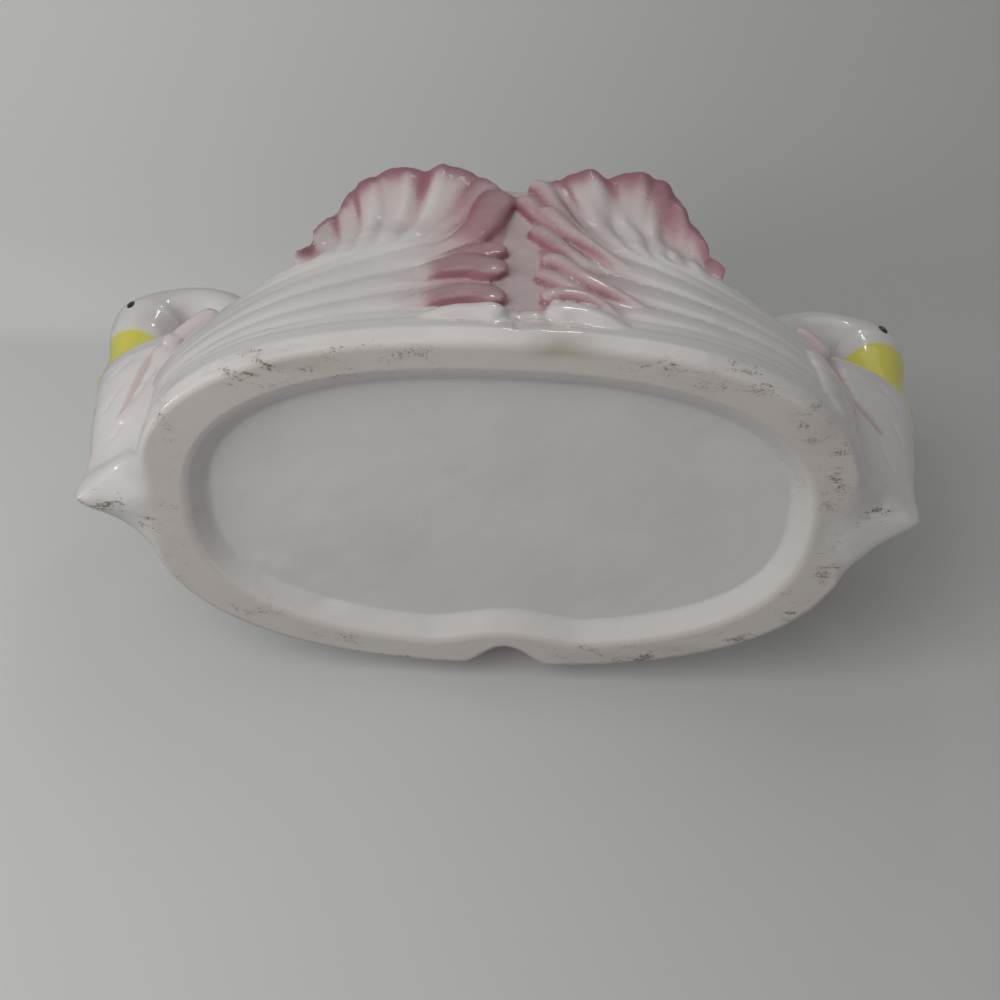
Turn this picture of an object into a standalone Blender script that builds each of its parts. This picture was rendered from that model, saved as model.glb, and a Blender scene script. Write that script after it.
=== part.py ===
"""Double swan planter: two glazed swans back to back round an open oval pot.

Metres, +Z up. The origin is the middle of the foot, on the surface the pot stands on.
X runs along the pot from beak to beak, and -Y is its front.
"""

import math

import bmesh
import bpy
import numpy as np

MM = 0.001

# Clearances and walls
SEAM = 0.3 * MM                 # gap left at every luted seam
WALL = 4.5 * MM                 # fired wall of wings, breasts and panels

# Walls: half length and half width of the pot's oval where they are plumb
SIDE_HALF_LENGTH = 110.0 * MM
SIDE_HALF_WIDTH = 58.5 * MM
SIDE_TOP = 130.0 * MM           # the wall surface is drawn up to here

# Foot
FOOT_STEP = 1.0 * MM            # the foot stands out this far in front of the walls
FOOT_HALF_LENGTH = 108.0 * MM
FOOT_HALF_WIDTH = SIDE_HALF_WIDTH + FOOT_STEP
FOOT_ROUNDNESS = 2.45           # superellipse power of the foot's plan
RING_END_WIDTH = 14.5 * MM      # flat of the foot ring at the ends and at the sides
RING_SIDE_WIDTH = 8.5 * MM
RECESS_HALF_LENGTH = FOOT_HALF_LENGTH - RING_END_WIDTH
RECESS_HALF_WIDTH = FOOT_HALF_WIDTH - RING_SIDE_WIDTH
RECESS_DEPTH = 6.0 * MM
RECESS_SLOPE = 6.0 * MM         # how far the recess wall leans in
RING_EDGE = 0.8 * MM            # soft edges of the flat ring
FOOT_BEVEL = 1.6 * MM           # outward lean of the foot band
FOOT_HEIGHT = 12.0 * MM         # top of the foot band, where every wall stands
BED_DEPTH = 1.0 * MM            # the planting floor lies this far below the wall seats
BED_EDGE = 13.0 * MM            # seat for the walls round the planting floor, at the sides
BED_HALF_LENGTH = 84.0 * MM
BED_HALF_WIDTH = FOOT_HALF_WIDTH - BED_EDGE

# Keels under the breasts
KEEL_REACH = 128.0 * MM         # from the middle of the pot to a keel's point
KEEL_HALF_WIDTH = 17.0 * MM
KEEL_LIFT = 1.2 * MM            # the point stands this far off the table

# Notch in the back of the foot, and the seam line that wanders off centre
SEAM_OFFSET = 3.5 * MM
NOTCH_HALF_WIDTH = 10.5 * MM
NOTCH_DEPTH = 8.0 * MM
NOTCH_INNER_BULGE = 4.5 * MM
NOTCH_INNER_SPREAD = 26.0 * MM

# Wall surface that the wings follow: it draws in at the ends and spreads at the sides on its way up
SIDE_ROUNDNESS = 2.4
SIDE_HEIGHTS = [FOOT_HEIGHT + (SIDE_TOP - FOOT_HEIGHT) * h for h in (0.0, 0.15, 0.32, 0.49, 0.645, 0.79, 1.0)]
SIDE_LENGTHS = [SIDE_HALF_LENGTH * a for a in (1.0, 1.027, 1.0, 0.918, 0.836, 0.782, 0.764)]
SIDE_WIDTHS = [SIDE_HALF_WIDTH * b for b in (1.008, 1.0, 0.992, 0.992, 1.0, 1.026, 1.043)]

# Wings
PANEL_HALF_WIDTH = 7.2 * MM     # bare strip between the feather tips of two wings, at the foot
PANEL_TOP_HALF_WIDTH = 3.4 * MM
SILL_HEIGHT = 11.0 * MM         # white sill under the front panel
CROWN_TIPS = 8
CROWN_ALONG = 38.5 * MM         # middle of the crown, measured round the wall
CROWN_HEIGHT = 82.0 * MM
CROWN_HALF_SPAN = 37.5 * MM
CROWN_RISE = 34.0 * MM
CROWN_LEAN = 5.0 * MM           # the crown stands this much higher at its outer end
CROWN_FIRST = 150.0             # degrees, first and last tips round the crown
CROWN_LAST = -24.0
CROWN_SQUARENESS = 0.68         # power of the crown's curve; 1 is an ellipse, less is squarer
LOBE_HEIGHTS = [FOOT_HEIGHT + (CROWN_HEIGHT - FOOT_HEIGHT) * h for h in (0.23, 0.57, 0.957)]  # tips at the panel
SCALLOP_DEPTH = 4.0 * MM
RIB_HEIGHT = 2.6 * MM
CREST_RISE = 2.2 * MM
CREST_DIP = 2.6 * MM
TIP_FLARE = 4.5 * MM
TIP_WALL = 3.2 * MM
SHOULDER_ALONG = 117.0 * MM     # leading edge of a wing at the foot, round the wall
SHOULDER_RAKE = 11.0 * MM       # how far the leading edge leans back at its top
SHOULDER_TOP = 54.0 * MM
RIDGE_ALONG = 73.0 * MM         # upper end of the ridge that runs from the shoulder to the crown
RIDGE_TOP = 62.0 * MM
RIDGE_BULGE = 2.5 * MM          # the crest bows up this much on its way
FULL_RELIEF_WIDTH = 8.0 * MM    # narrower feathers have fainter ribs
CREST_ELBOW = 45.0 * MM         # the crest is lowest about here
CREST_SAG = 9.0 * MM            # how far the top lobe's feathers droop towards the crest
CREST_SHARE = 0.57              # share of a feather line that lies before the crest
CREST_ROUND = 0.05              # part of the line taken up by the rounded corner, either side
END_NOTCH = 1.2 * MM            # the crown's lowest corner stands this far past its last tip
KNOB_RISE = 3.0 * MM            # short feathers down the leading edge
KNOB_REACH = 5.0 * MM
KNOBS = 3

# Panels between the wings
PANEL_LAP = 9.0 * MM            # part of a panel that lies behind each wing
PANEL_TOP = 104.0 * MM
PANEL_GAP = 0.6 * MM            # slip seam behind the wings

# Necks, heads and beaks follow one line: a straight, an arc and a straight
NECK_X = 99.0 * MM
NECK_BASE_RADIUS = 12.6 * MM
NECK_RADIUS = 10.2 * MM
ARCH_RADIUS = 17.0 * MM
ARCH_HEIGHT = 104.0 * MM        # centre of the arc
BOW = 10.0                      # degrees that the bowed head still leans outward
HEAD_START = 48.0               # degrees of the arc above the horizontal where the head begins
HEAD_HALF_DEPTH = 13.3 * MM     # forehead to throat
HEAD_HALF_WIDTH = 11.4 * MM
BILL_LINE = 96.0 * MM           # height of the line between face and bill
BILL_HALF_DEPTH = 12.0 * MM
BILL_HALF_WIDTH = 9.8 * MM
BILL_TIP = 69.5 * MM
BILL_TIP_RADIUS = 1.6 * MM
EYE_HEIGHT = 109.0 * MM
EYE_RADIUS = 2.0 * MM
EYE_RISE = 0.9 * MM

# Breasts
MOUTH_X = 86.0 * MM             # the hollow breast opens into the pot here
ROOF_HEIGHT = 80.0 * MM         # where the neck stands
ROOF_DOME = 18.0 * MM           # how far the back draws in from the wings on its way up
BILL_CLEARANCE = 0.6 * MM
LUTE_GAP = 0.95 * MM            # slip seam between a breast and the wings that it hugs

# Facets
RING_STEPS = 88
BAND_STEPS = 4
FEATHER_STEPS = 9
BREAST_STEPS = 26
TUBE_SIDES = 16

WHITE = (0.86, 0.83, 0.82)
BLUSH = (0.83, 0.74, 0.75)
MAUVE = (0.62, 0.42, 0.47)
YELLOW = (0.80, 0.72, 0.10)
BLACK = (0.02, 0.02, 0.02)


def clear_scene():
    for thing in list(bpy.data.objects):
        bpy.data.objects.remove(thing, do_unlink=True)


def glaze(name, colour, roughness):
    material = bpy.data.materials.new(name)
    material.use_nodes = True
    shader = material.node_tree.nodes["Principled BSDF"]
    shader.inputs["Base Color"].default_value = (*colour, 1.0)
    shader.inputs["Roughness"].default_value = roughness
    shader.inputs["Metallic"].default_value = 0.0
    return material


def add_object(name, points, faces, colour, roughness=0.12):
    """One closed, outward-facing, smooth-shaded body."""
    shell = bmesh.new()
    corners = [shell.verts.new(p) for p in points]
    for face in faces:
        shell.faces.new([corners[i] for i in face])
    bmesh.ops.recalc_face_normals(shell, faces=shell.faces[:])
    mesh = bpy.data.meshes.new(name)
    shell.to_mesh(mesh)
    shell.free()
    mesh.materials.append(glaze(name + "_glaze", colour, roughness))
    mesh.shade_smooth()
    mesh.set_sharp_from_angle(angle=math.radians(40))
    thing = bpy.data.objects.new(name, mesh)
    bpy.context.scene.collection.objects.link(thing)
    return thing


def smooth_step(low, high, value):
    t = min(max((value - low) / (high - low), 0.0), 1.0)
    return t * t * (3.0 - 2.0 * t)


def hump(value, middle, half_width):
    q = abs(value - middle) / half_width
    return 0.0 if q >= 1.0 else (1.0 - q * q) ** 2


def oval(half_length, half_width, roundness, angle):
    """Point of a superellipse in plan; angle 0 is the front middle, pi/2 the +X end."""
    s, c = math.sin(angle), math.cos(angle)
    x = half_length * math.copysign(abs(s) ** (2.0 / roundness), s)
    y = -half_width * math.copysign(abs(c) ** (2.0 / roundness), c)
    return x, y


def oval_normal(half_length, half_width, roundness, x, y):
    nx = math.copysign(abs(x / half_length) ** (roundness - 1.0) / half_length, x)
    ny = math.copysign(abs(y / half_width) ** (roundness - 1.0) / half_width, y)
    size = math.hypot(nx, ny)
    return nx / size, ny / size


def nose(y, half_width, fineness, fullness):
    """0 to 1 swell of a keel or breast across its width: 1 on the centre line."""
    q = min(abs(y) / half_width, 1.0)
    return (1.0 - q ** fineness) ** fullness


def eased(value, marks, row):
    """Smooth curve through a short row of values, level at its ends."""
    value = min(max(value, marks[0]), marks[-1])
    k = min(int(np.searchsorted(marks, value, side="right")) - 1, len(marks) - 2)
    span = marks[k + 1] - marks[k]
    t = (value - marks[k]) / span
    slopes = []
    for i in (k, k + 1):
        if i in (0, len(marks) - 1):
            slopes.append(0.0)
        else:
            slopes.append((row[i + 1] - row[i - 1]) / (marks[i + 1] - marks[i - 1]))
    return ((2 * t ** 3 - 3 * t ** 2 + 1) * row[k] + (t ** 3 - 2 * t ** 2 + t) * span * slopes[0]
            + (3 * t ** 2 - 2 * t ** 3) * row[k + 1] + (t ** 3 - t ** 2) * span * slopes[1])


def side_half_length(z):
    return eased(z, SIDE_HEIGHTS, SIDE_LENGTHS)


def side_half_width(z):
    return eased(z, SIDE_HEIGHTS, SIDE_WIDTHS)


def ring_angles(count):
    """Angles round the foot, closer together at the keels and at the middle seam."""
    fine = np.linspace(0.0, 2.0 * math.pi, 4001)
    places = np.array([oval(FOOT_HALF_LENGTH, FOOT_HALF_WIDTH, FOOT_ROUNDNESS, a) for a in fine])
    steps = np.hypot(*np.diff(places, axis=0).T)
    middle = 0.5 * (places[1:] + places[:-1])
    near_keel = np.exp(-(middle[:, 1] / (0.8 * KEEL_HALF_WIDTH)) ** 2)
    near_notch = np.exp(-((middle[:, 0] - SEAM_OFFSET) / NOTCH_HALF_WIDTH) ** 2)
    travelled = np.concatenate([[0.0], np.cumsum(steps * (1.0 + 1.6 * near_keel + 2.0 * near_notch))])
    return np.interp(np.arange(count) * travelled[-1] / count, travelled, fine)


def foot_ring(half_length, half_width, keel_reach, notch, bulge, z, keel_z=None):
    """One ring of the foot: an oval with a keel at each end and a notch at the back."""
    points = []
    for angle in ring_angles(RING_STEPS):
        x, y = oval(half_length, half_width, FOOT_ROUNDNESS, angle)
        swell = nose(y, KEEL_HALF_WIDTH, 1.15, 1.5) if keel_reach else 0.0
        lift = (keel_z - z) * swell if keel_z is not None else 0.0
        x += math.copysign(max(keel_reach - half_length, 0.0) * swell, x)
        if y > 0.0:
            y -= notch * hump(x, SEAM_OFFSET, 1.35 * NOTCH_HALF_WIDTH)
            y -= bulge * hump(x, SEAM_OFFSET, NOTCH_INNER_SPREAD)
        points.append((x, y, z + lift))
    return points


def loft(rings, bottom, top):
    """Faces of a lofted body between closed rings, with one pole point at each end."""
    count = len(rings[0])
    points = [bottom]
    for ring in rings:
        points.extend(ring)
    points.append(top)
    last = len(points) - 1
    faces = []
    for i in range(count):
        j = (i + 1) % count
        faces.append((0, 1 + j, 1 + i))
        for r in range(len(rings) - 1):
            a = 1 + r * count
            b = a + count
            faces.append((a + i, a + j, b + j, b + i))
        a = 1 + (len(rings) - 1) * count
        faces.append((last, a + i, a + j))
    return points, faces


def make_basin():
    """Foot ring, recessed underside, keels and planting floor."""
    lean = FOOT_BEVEL
    notch_top = NOTCH_DEPTH * 0.75
    rings = [
        foot_ring(RECESS_HALF_LENGTH - RECESS_SLOPE, RECESS_HALF_WIDTH - RECESS_SLOPE, 0.0, 0.0,
                  NOTCH_INNER_BULGE, RECESS_DEPTH),
        foot_ring(RECESS_HALF_LENGTH - RING_EDGE, RECESS_HALF_WIDTH - RING_EDGE, 0.0, 0.0,
                  NOTCH_INNER_BULGE, RING_EDGE),
        foot_ring(RECESS_HALF_LENGTH, RECESS_HALF_WIDTH, 0.0, 0.0, NOTCH_INNER_BULGE, 0.0),
        foot_ring(FOOT_HALF_LENGTH - RING_EDGE, FOOT_HALF_WIDTH - RING_EDGE,
                  KEEL_REACH - 1.5 * RING_EDGE, NOTCH_DEPTH, 0.0, 0.0, KEEL_LIFT),
        foot_ring(FOOT_HALF_LENGTH, FOOT_HALF_WIDTH, KEEL_REACH, NOTCH_DEPTH, 0.0,
                  RING_EDGE, KEEL_LIFT + RING_EDGE),
        foot_ring(FOOT_HALF_LENGTH + lean, FOOT_HALF_WIDTH + lean, KEEL_REACH + 0.4 * lean,
                  notch_top, 0.0, 0.5 * FOOT_HEIGHT),
        foot_ring(FOOT_HALF_LENGTH + lean, FOOT_HALF_WIDTH + 0.6 * lean, KEEL_REACH + 0.8 * lean,
                  notch_top, 0.0, FOOT_HEIGHT),
        foot_ring(BED_HALF_LENGTH + BED_DEPTH, BED_HALF_WIDTH + BED_DEPTH, 0.0, 0.0, 0.0,
                  FOOT_HEIGHT),
        foot_ring(BED_HALF_LENGTH, BED_HALF_WIDTH, 0.0, 0.0, 0.0, FOOT_HEIGHT - BED_DEPTH),
    ]
    points, faces = loft(rings, (0.0, 0.0, RECESS_DEPTH), (0.0, 0.0, FOOT_HEIGHT - BED_DEPTH))
    add_object("basin", points, faces, WHITE)


def wall_table():
    """Arc length round the wall from the front middle, against the angle in plan."""
    fine = np.linspace(0.0, 0.5 * math.pi, 2001)
    a, b = side_half_length(SIDE_HEIGHTS[1]), side_half_width(SIDE_HEIGHTS[1])
    places = np.array([oval(a, b, SIDE_ROUNDNESS, t) for t in fine])
    steps = np.hypot(*np.diff(places, axis=0).T)
    return np.concatenate([[0.0], np.cumsum(steps)]), fine


ARC_LENGTHS, ARC_ANGLES = wall_table()


def wall_point(along, z, outward):
    """A point of the right front wall, given round the wall, up it and out from it."""
    angle = math.copysign(float(np.interp(abs(along), ARC_LENGTHS, ARC_ANGLES)), along)
    a, b = side_half_length(z), side_half_width(z)
    x, y = oval(a, b, SIDE_ROUNDNESS, angle)
    nx, ny = oval_normal(a, b, SIDE_ROUNDNESS, x, y)
    return x + outward * nx, y + outward * ny, z


def panel_half_width(z):
    share = (z - FOOT_HEIGHT) / (PANEL_TOP - FOOT_HEIGHT)
    return PANEL_HALF_WIDTH + (PANEL_TOP_HALF_WIDTH - PANEL_HALF_WIDTH) * share ** 2


def feather_tips():
    """Tips of the feathers round the wall: three that face the panel, then the crown."""
    tips = [(panel_half_width(z), z) for z in LOBE_HEIGHTS]
    for k in range(CROWN_TIPS):
        turn = math.radians(CROWN_FIRST + (CROWN_LAST - CROWN_FIRST) * k / (CROWN_TIPS - 1))
        c = math.copysign(abs(math.cos(turn)) ** CROWN_SQUARENESS, math.cos(turn))
        s = math.copysign(abs(math.sin(turn)) ** CROWN_SQUARENESS, math.sin(turn))
        tips.append((CROWN_ALONG + CROWN_HALF_SPAN * c, CROWN_HEIGHT + CROWN_RISE * s + CROWN_LEAN * c))
    return tips


def knob_wave(v):
    """Row of short feather knobs up the leading edge."""
    return abs(math.sin(math.pi * KNOBS * v)) * min(KNOBS * v, 1.0)


def root_edge(v):
    """Start of a feather line on the leading edge, from the foot up to the shoulder."""
    base = FOOT_HEIGHT + SEAM
    along = SHOULDER_ALONG - SHOULDER_RAKE * v ** 1.6 + KNOB_REACH * knob_wave(v)
    return np.array([along, base + (SHOULDER_TOP - base) * v])


def shoulder_half_width(z):
    """Half the gap between the leading edges of a swan's two wings, inside their skins."""
    base = FOOT_HEIGHT + SEAM
    climb = min(max((z - base) / (SHOULDER_TOP - base), 0.0), 1.0)
    farthest = SHOULDER_ALONG - SHOULDER_RAKE * climb ** 1.6 + 2.0 * KNOB_REACH
    return -wall_point(farthest, z, -WALL)[1] - LUTE_GAP


def lobe_crest(share, start, end):
    """Where a feather line turns below the crown; share is 0 at the sill and 1 at the top lobe."""
    reach = 0.55 + 0.3 * share
    return start + reach * (end - start) - np.array([0.0, CREST_SAG * smooth_step(0.2, 1.0, share)])


def crest_line(share, low):
    """Crest from the top lobe (share 0) to the ridge's outer end (share 1)."""
    middle = np.array([CREST_ELBOW, RIDGE_TOP + RIDGE_BULGE])
    ridge = np.array([RIDGE_ALONG, RIDGE_TOP])
    return (1 - share) ** 2 * low + 2 * share * (1 - share) * middle + share ** 2 * ridge


def scallop_notch(low, high, inward):
    """Point between two tips, drawn back along the feathers."""
    middle = 0.5 * (np.array(low) + np.array(high))
    return middle + SCALLOP_DEPTH * (inward - middle) / np.linalg.norm(inward - middle)


def tip_edge(band, w, tips, notches, sill_start, sill_top):
    """Outer end of a feather line; w runs from -1 to 1 across the band."""
    base = FOOT_HEIGHT + SEAM
    if band == 0:
        if w <= 0.0:
            return np.array([sill_start, base + (sill_top - base) * (w + 1.0)])
        return np.array([sill_start + (notches[0][0] - sill_start) * w, sill_top])
    low, high = notches[band - 1], notches[band]
    chord = low + (high - low) * 0.5 * (w + 1.0)
    reach = np.array(tips[band - 1]) - 0.5 * (low + high)
    return chord + reach * (1.0 - abs(w) ** 2.3) ** (1.0 / 2.3)


def feather_point(start, crest, end, u):
    """Straight to the crest and straight on to the tip, with the corner rounded off."""
    if abs(u - CREST_SHARE) >= CREST_ROUND:
        if u < CREST_SHARE:
            return start + (crest - start) * u / CREST_SHARE
        return crest + (end - crest) * (u - CREST_SHARE) / (1.0 - CREST_SHARE)
    enter = start + (crest - start) * (1.0 - CREST_ROUND / CREST_SHARE)
    leave = crest + (end - crest) * CREST_ROUND / (1.0 - CREST_SHARE)
    t = 0.5 * (u - CREST_SHARE + CREST_ROUND) / CREST_ROUND
    return (1 - t) ** 2 * enter + 2 * t * (1 - t) * crest + t * t * leave


def fan_grid(sill_start):
    """Feather lines of a fan round the wall, column by column, with each column's place in its band."""
    tips = feather_tips()
    lobes = len(LOBE_HEIGHTS)
    bands = len(tips) + 1
    sill_top = FOOT_HEIGHT + SILL_HEIGHT
    notches = [np.array([PANEL_HALF_WIDTH + 0.3 * SCALLOP_DEPTH, sill_top])]
    for j in range(lobes):
        notches.append(scallop_notch(tips[j], tips[j + 1], root_edge((j + 2) / bands)))
    top_lobe = (lobes + 1) / bands
    low_crest = lobe_crest(1.0, root_edge(top_lobe), notches[-1])
    for j in range(lobes, len(tips) - 1):
        share = ((j + 2) / bands - top_lobe) / (1.0 - top_lobe)
        notches.append(scallop_notch(tips[j], tips[j + 1], crest_line(share, low_crest)))
    ridge = np.array([RIDGE_ALONG, RIDGE_TOP])
    notches.append(0.5 * (np.array(tips[-1]) + ridge) + np.array([END_NOTCH, 0.0]))
    lines = []
    for band in range(bands):
        steps = range(BAND_STEPS + 1) if band == bands - 1 else range(BAND_STEPS)
        for step in steps:
            w = -1.0 + 2.0 * step / BAND_STEPS
            v = (band + 0.5 * (w + 1.0)) / bands
            start = root_edge(v)
            end = tip_edge(band, w, tips, notches, sill_start, sill_top)
            if v <= top_lobe:
                crest = lobe_crest(v / top_lobe, start, end)
            else:
                crest = crest_line((v - top_lobe) / (1.0 - top_lobe), low_crest)
            spots = [feather_point(start, crest, end, i / FEATHER_STEPS) for i in range(FEATHER_STEPS + 1)]
            lines.append((band, w, v, np.array(spots)))
    return lines


def wing_reliefs(u, v, w, band, along, width):
    """How far the outer and the inner skin stand off the wall surface."""
    if band == 0:
        return 0.6 * RIB_HEIGHT, -WALL
    crown = smooth_step(0.33, 0.5, v)
    share = min(width / FULL_RELIEF_WIDTH, 1.0)
    rib = (1.0 - abs(w) ** 2.6) ** 0.7
    swell = 0.35 + 0.65 * smooth_step(0.1, 0.7, u)
    lap = PANEL_HALF_WIDTH + PANEL_LAP + SEAM_OFFSET
    open_wall = smooth_step(1.5 * lap, 2.2 * lap, along)
    form = crown * open_wall * (CREST_RISE * hump(u, 0.5, 0.3) - CREST_DIP * hump(u, 0.78, 0.17))
    flare = (0.3 + 0.7 * smooth_step(0.0, CROWN_ALONG, along)) * (0.25 + 0.75 * crown)
    form = share * (form + flare * TIP_FLARE * smooth_step(0.78, 1.0, u))
    knob = KNOB_RISE * knob_wave(v) * (1.0 - smooth_step(0.02, 0.16, u))
    outer = RIB_HEIGHT * rib * swell * share + form + knob
    thick = WALL - (WALL - TIP_WALL) * smooth_step(0.85, 1.0, u)
    return outer, max(form, 0.0) * 0.8 - thick + min(form, 0.0)


def make_wing(name, side_x, side_y):
    """A scalloped fan of ribbed feathers that is also the wall of the pot."""
    base = FOOT_HEIGHT + SEAM
    shift = SEAM_OFFSET * side_x
    lines = fan_grid(SEAM if side_y < 0 else PANEL_HALF_WIDTH)
    outer, inner = [], []
    for band, w, v, spots in lines:
        first = lines[band * BAND_STEPS][3]
        last = lines[(band + 1) * BAND_STEPS][3]
        for i, (along, z) in enumerate(spots):
            width = float(np.linalg.norm(last[i] - first[i]))
            reliefs = wing_reliefs(i / FEATHER_STEPS, v, w, band, along, width)
            drift = shift * (1.0 - smooth_step(0.0, CROWN_ALONG + CROWN_HALF_SPAN, along))
            for rise, skin in zip(reliefs, (outer, inner)):
                x, y, height = wall_point(along + drift, max(z, base), rise)
                skin.append((side_x * x, -side_y * y, height))
    points, faces = shell_between(outer, inner, len(lines), FEATHER_STEPS + 1)
    add_object(name, points, faces, BLUSH)


def shell_between(outer, inner, columns, rows):
    """Closed skin from two matching grids, stored column by column."""
    points = outer + inner
    half = len(outer)
    faces = []
    for c in range(columns - 1):
        for r in range(rows - 1):
            a = c * rows + r
            quad = (a, a + 1, a + rows + 1, a + rows)
            faces.append(quad)
            faces.append(tuple(half + i for i in reversed(quad)))
    edge = [c * rows for c in range(columns)]
    edge += [(columns - 1) * rows + r for r in range(1, rows)]
    edge += [c * rows + rows - 1 for c in range(columns - 2, -1, -1)]
    edge += [r for r in range(rows - 2, 0, -1)]
    for a, b in zip(edge, edge[1:] + edge[:1]):
        faces.append((a, b, half + b, half + a))
    return points, faces


def make_panel(name, side_y):
    """Recessed strip of wall that shows between the feather tips."""
    base = FOOT_HEIGHT + SEAM
    half = PANEL_HALF_WIDTH + PANEL_LAP
    columns, rows = 9, 8
    outer, inner = [], []
    for c in range(columns):
        x = SEAM_OFFSET + half * (2.0 * c / (columns - 1) - 1.0)
        for r in range(rows):
            t = r / (rows - 1)
            dip = 3.0 * MM * t * (1.0 - abs(2.0 * c / (columns - 1) - 1.0))
            z = base + (PANEL_TOP - base) * t - dip * (r == rows - 1)
            _, y, _ = wall_point(abs(x), z, -WALL - PANEL_GAP)
            outer.append((x, side_y * -y, z))
            _, y, _ = wall_point(abs(x), z, -2.0 * WALL - PANEL_GAP)
            inner.append((x, side_y * -y, z))
    points, faces = shell_between(outer, inner, columns, rows)
    add_object(name, points, faces, MAUVE)


def bow_angle():
    return math.radians(BOW)


def spine(travel):
    """Centre line of neck, head and bill: place and outward normal, in the XZ plane."""
    start = ROOF_HEIGHT + SEAM
    rise = ARCH_HEIGHT - start
    turn = math.pi - bow_angle()
    arc = ARCH_RADIUS * turn
    centre = NECK_X + ARCH_RADIUS
    if travel < rise:
        return (NECK_X, start + travel), (-1.0, 0.0)
    if travel < rise + arc:
        angle = math.pi - (travel - rise) / ARCH_RADIUS
        c, s = math.cos(angle), math.sin(angle)
        return (centre + ARCH_RADIUS * c, ARCH_HEIGHT + ARCH_RADIUS * s), (c, s)
    c, s = math.cos(bow_angle()), math.sin(bow_angle())
    rest = travel - rise - arc
    return (centre + ARCH_RADIUS * c + rest * s, ARCH_HEIGHT + ARCH_RADIUS * s - rest * c), (c, s)


def spine_marks():
    """Travel along the centre line at the head's start, its fullest part, the bill and its tip."""
    rise = ARCH_HEIGHT - ROOF_HEIGHT - SEAM
    head = rise + ARCH_RADIUS * (math.pi - math.radians(HEAD_START))
    bend_end = rise + ARCH_RADIUS * (math.pi - bow_angle())
    (_, z), _ = spine(bend_end)
    bill = bend_end + (z - BILL_LINE) / math.cos(bow_angle())
    tip = bend_end + (z - BILL_TIP) / math.cos(bow_angle())
    return head, bend_end, bill, tip


def spine_section(travel):
    """Half depth, half width and inward shift of the neck, head or bill."""
    head, full, bill, tip = spine_marks()
    flare = 12.0 * MM
    places = [0.0, flare, head - 4.0 * MM, head, full - 3.0 * MM, bill, 0.5 * (bill + tip),
              tip - BILL_TIP_RADIUS, tip]
    depths = [NECK_BASE_RADIUS, NECK_RADIUS, NECK_RADIUS, NECK_RADIUS * 1.06, HEAD_HALF_DEPTH,
              BILL_HALF_DEPTH, 0.52 * BILL_HALF_DEPTH, 1.5 * BILL_TIP_RADIUS, BILL_TIP_RADIUS * 0.7]
    widths = [NECK_BASE_RADIUS, NECK_RADIUS, NECK_RADIUS, NECK_RADIUS * 1.04, HEAD_HALF_WIDTH,
              BILL_HALF_WIDTH, 0.6 * BILL_HALF_WIDTH, 1.6 * BILL_TIP_RADIUS, BILL_TIP_RADIUS * 0.7]
    depth = float(np.interp(travel, places, depths))
    width = float(np.interp(travel, places, widths))
    shift = 1.8 * MM * hump(travel, bill, 0.7 * (tip - bill))
    return depth, width, shift


def spine_point(side, travel, angle, off=0.0):
    """Point of the neck's, head's or bill's skin; angle 0 is the crown side."""
    (x, z), (nx, nz) = spine(travel)
    depth, width, shift = spine_section(travel)
    reach = (depth + off) * math.cos(angle) - shift
    return side * (x + reach * nx), (width + off) * math.sin(angle), z + reach * nz


def spine_body(name, side, start, end, steps, colour):
    """Closed piece of the neck line between two cuts."""
    rings = []
    for i in range(steps + 1):
        travel = start + (end - start) * i / steps
        rings.append([spine_point(side, travel, 2.0 * math.pi * k / TUBE_SIDES)
                      for k in range(TUBE_SIDES)])
    ends = []
    for travel in (start, end):
        (x, z), (nx, nz) = spine(travel)
        shift = spine_section(travel)[2]
        ends.append((side * (x - shift * nx), 0.0, z - shift * nz))
    points, faces = loft(rings, ends[0], ends[1])
    add_object(name, points, faces, colour)


def make_neck_and_head(label, side):
    head, _, bill, tip = spine_marks()
    spine_body(label + "_neck", side, 0.0, head - 0.5 * SEAM, 13, WHITE)
    spine_body(label + "_head", side, head + 0.5 * SEAM, bill - 0.5 * SEAM, 9, WHITE)
    spine_body(label + "_beak", side, bill + 0.5 * SEAM, tip, 8, YELLOW)


def eye_place():
    """Travel and angle of an eye: on the side of the head at eye height."""
    _, full, bill, _ = spine_marks()
    (_, z), _ = spine(full)
    travel = full + (z - EYE_HEIGHT) / math.cos(bow_angle())
    return min(travel, bill - 2.0 * EYE_RADIUS), math.radians(66.0)


def make_eye(name, side, side_y):
    """Low dome laid on the curve of the head."""
    travel, angle = eye_place()
    depth, width, _ = spine_section(travel)
    around = 0.5 * (depth + width)
    rings, sides = [], 8
    for share, rise in ((0.7, SEAM), (1.0, SEAM), (0.98, SEAM + 0.4 * EYE_RISE), (0.6, SEAM + 0.85 * EYE_RISE)):
        ring = []
        for k in range(sides):
            turn = 2.0 * math.pi * k / sides
            radius = EYE_RADIUS * share
            x, y, z = spine_point(side, travel + radius * math.cos(turn),
                                  angle + radius * math.sin(turn) / around, rise)
            ring.append((x, side_y * y, z))
        rings.append(ring)
    x, y, z = spine_point(side, travel, angle, SEAM)
    xt, yt, zt = spine_point(side, travel, angle, SEAM + EYE_RISE)
    points, faces = loft(rings, (x, side_y * y, z), (xt, side_y * yt, zt))
    add_object(name, points, faces, BLACK, 0.08)


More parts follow.
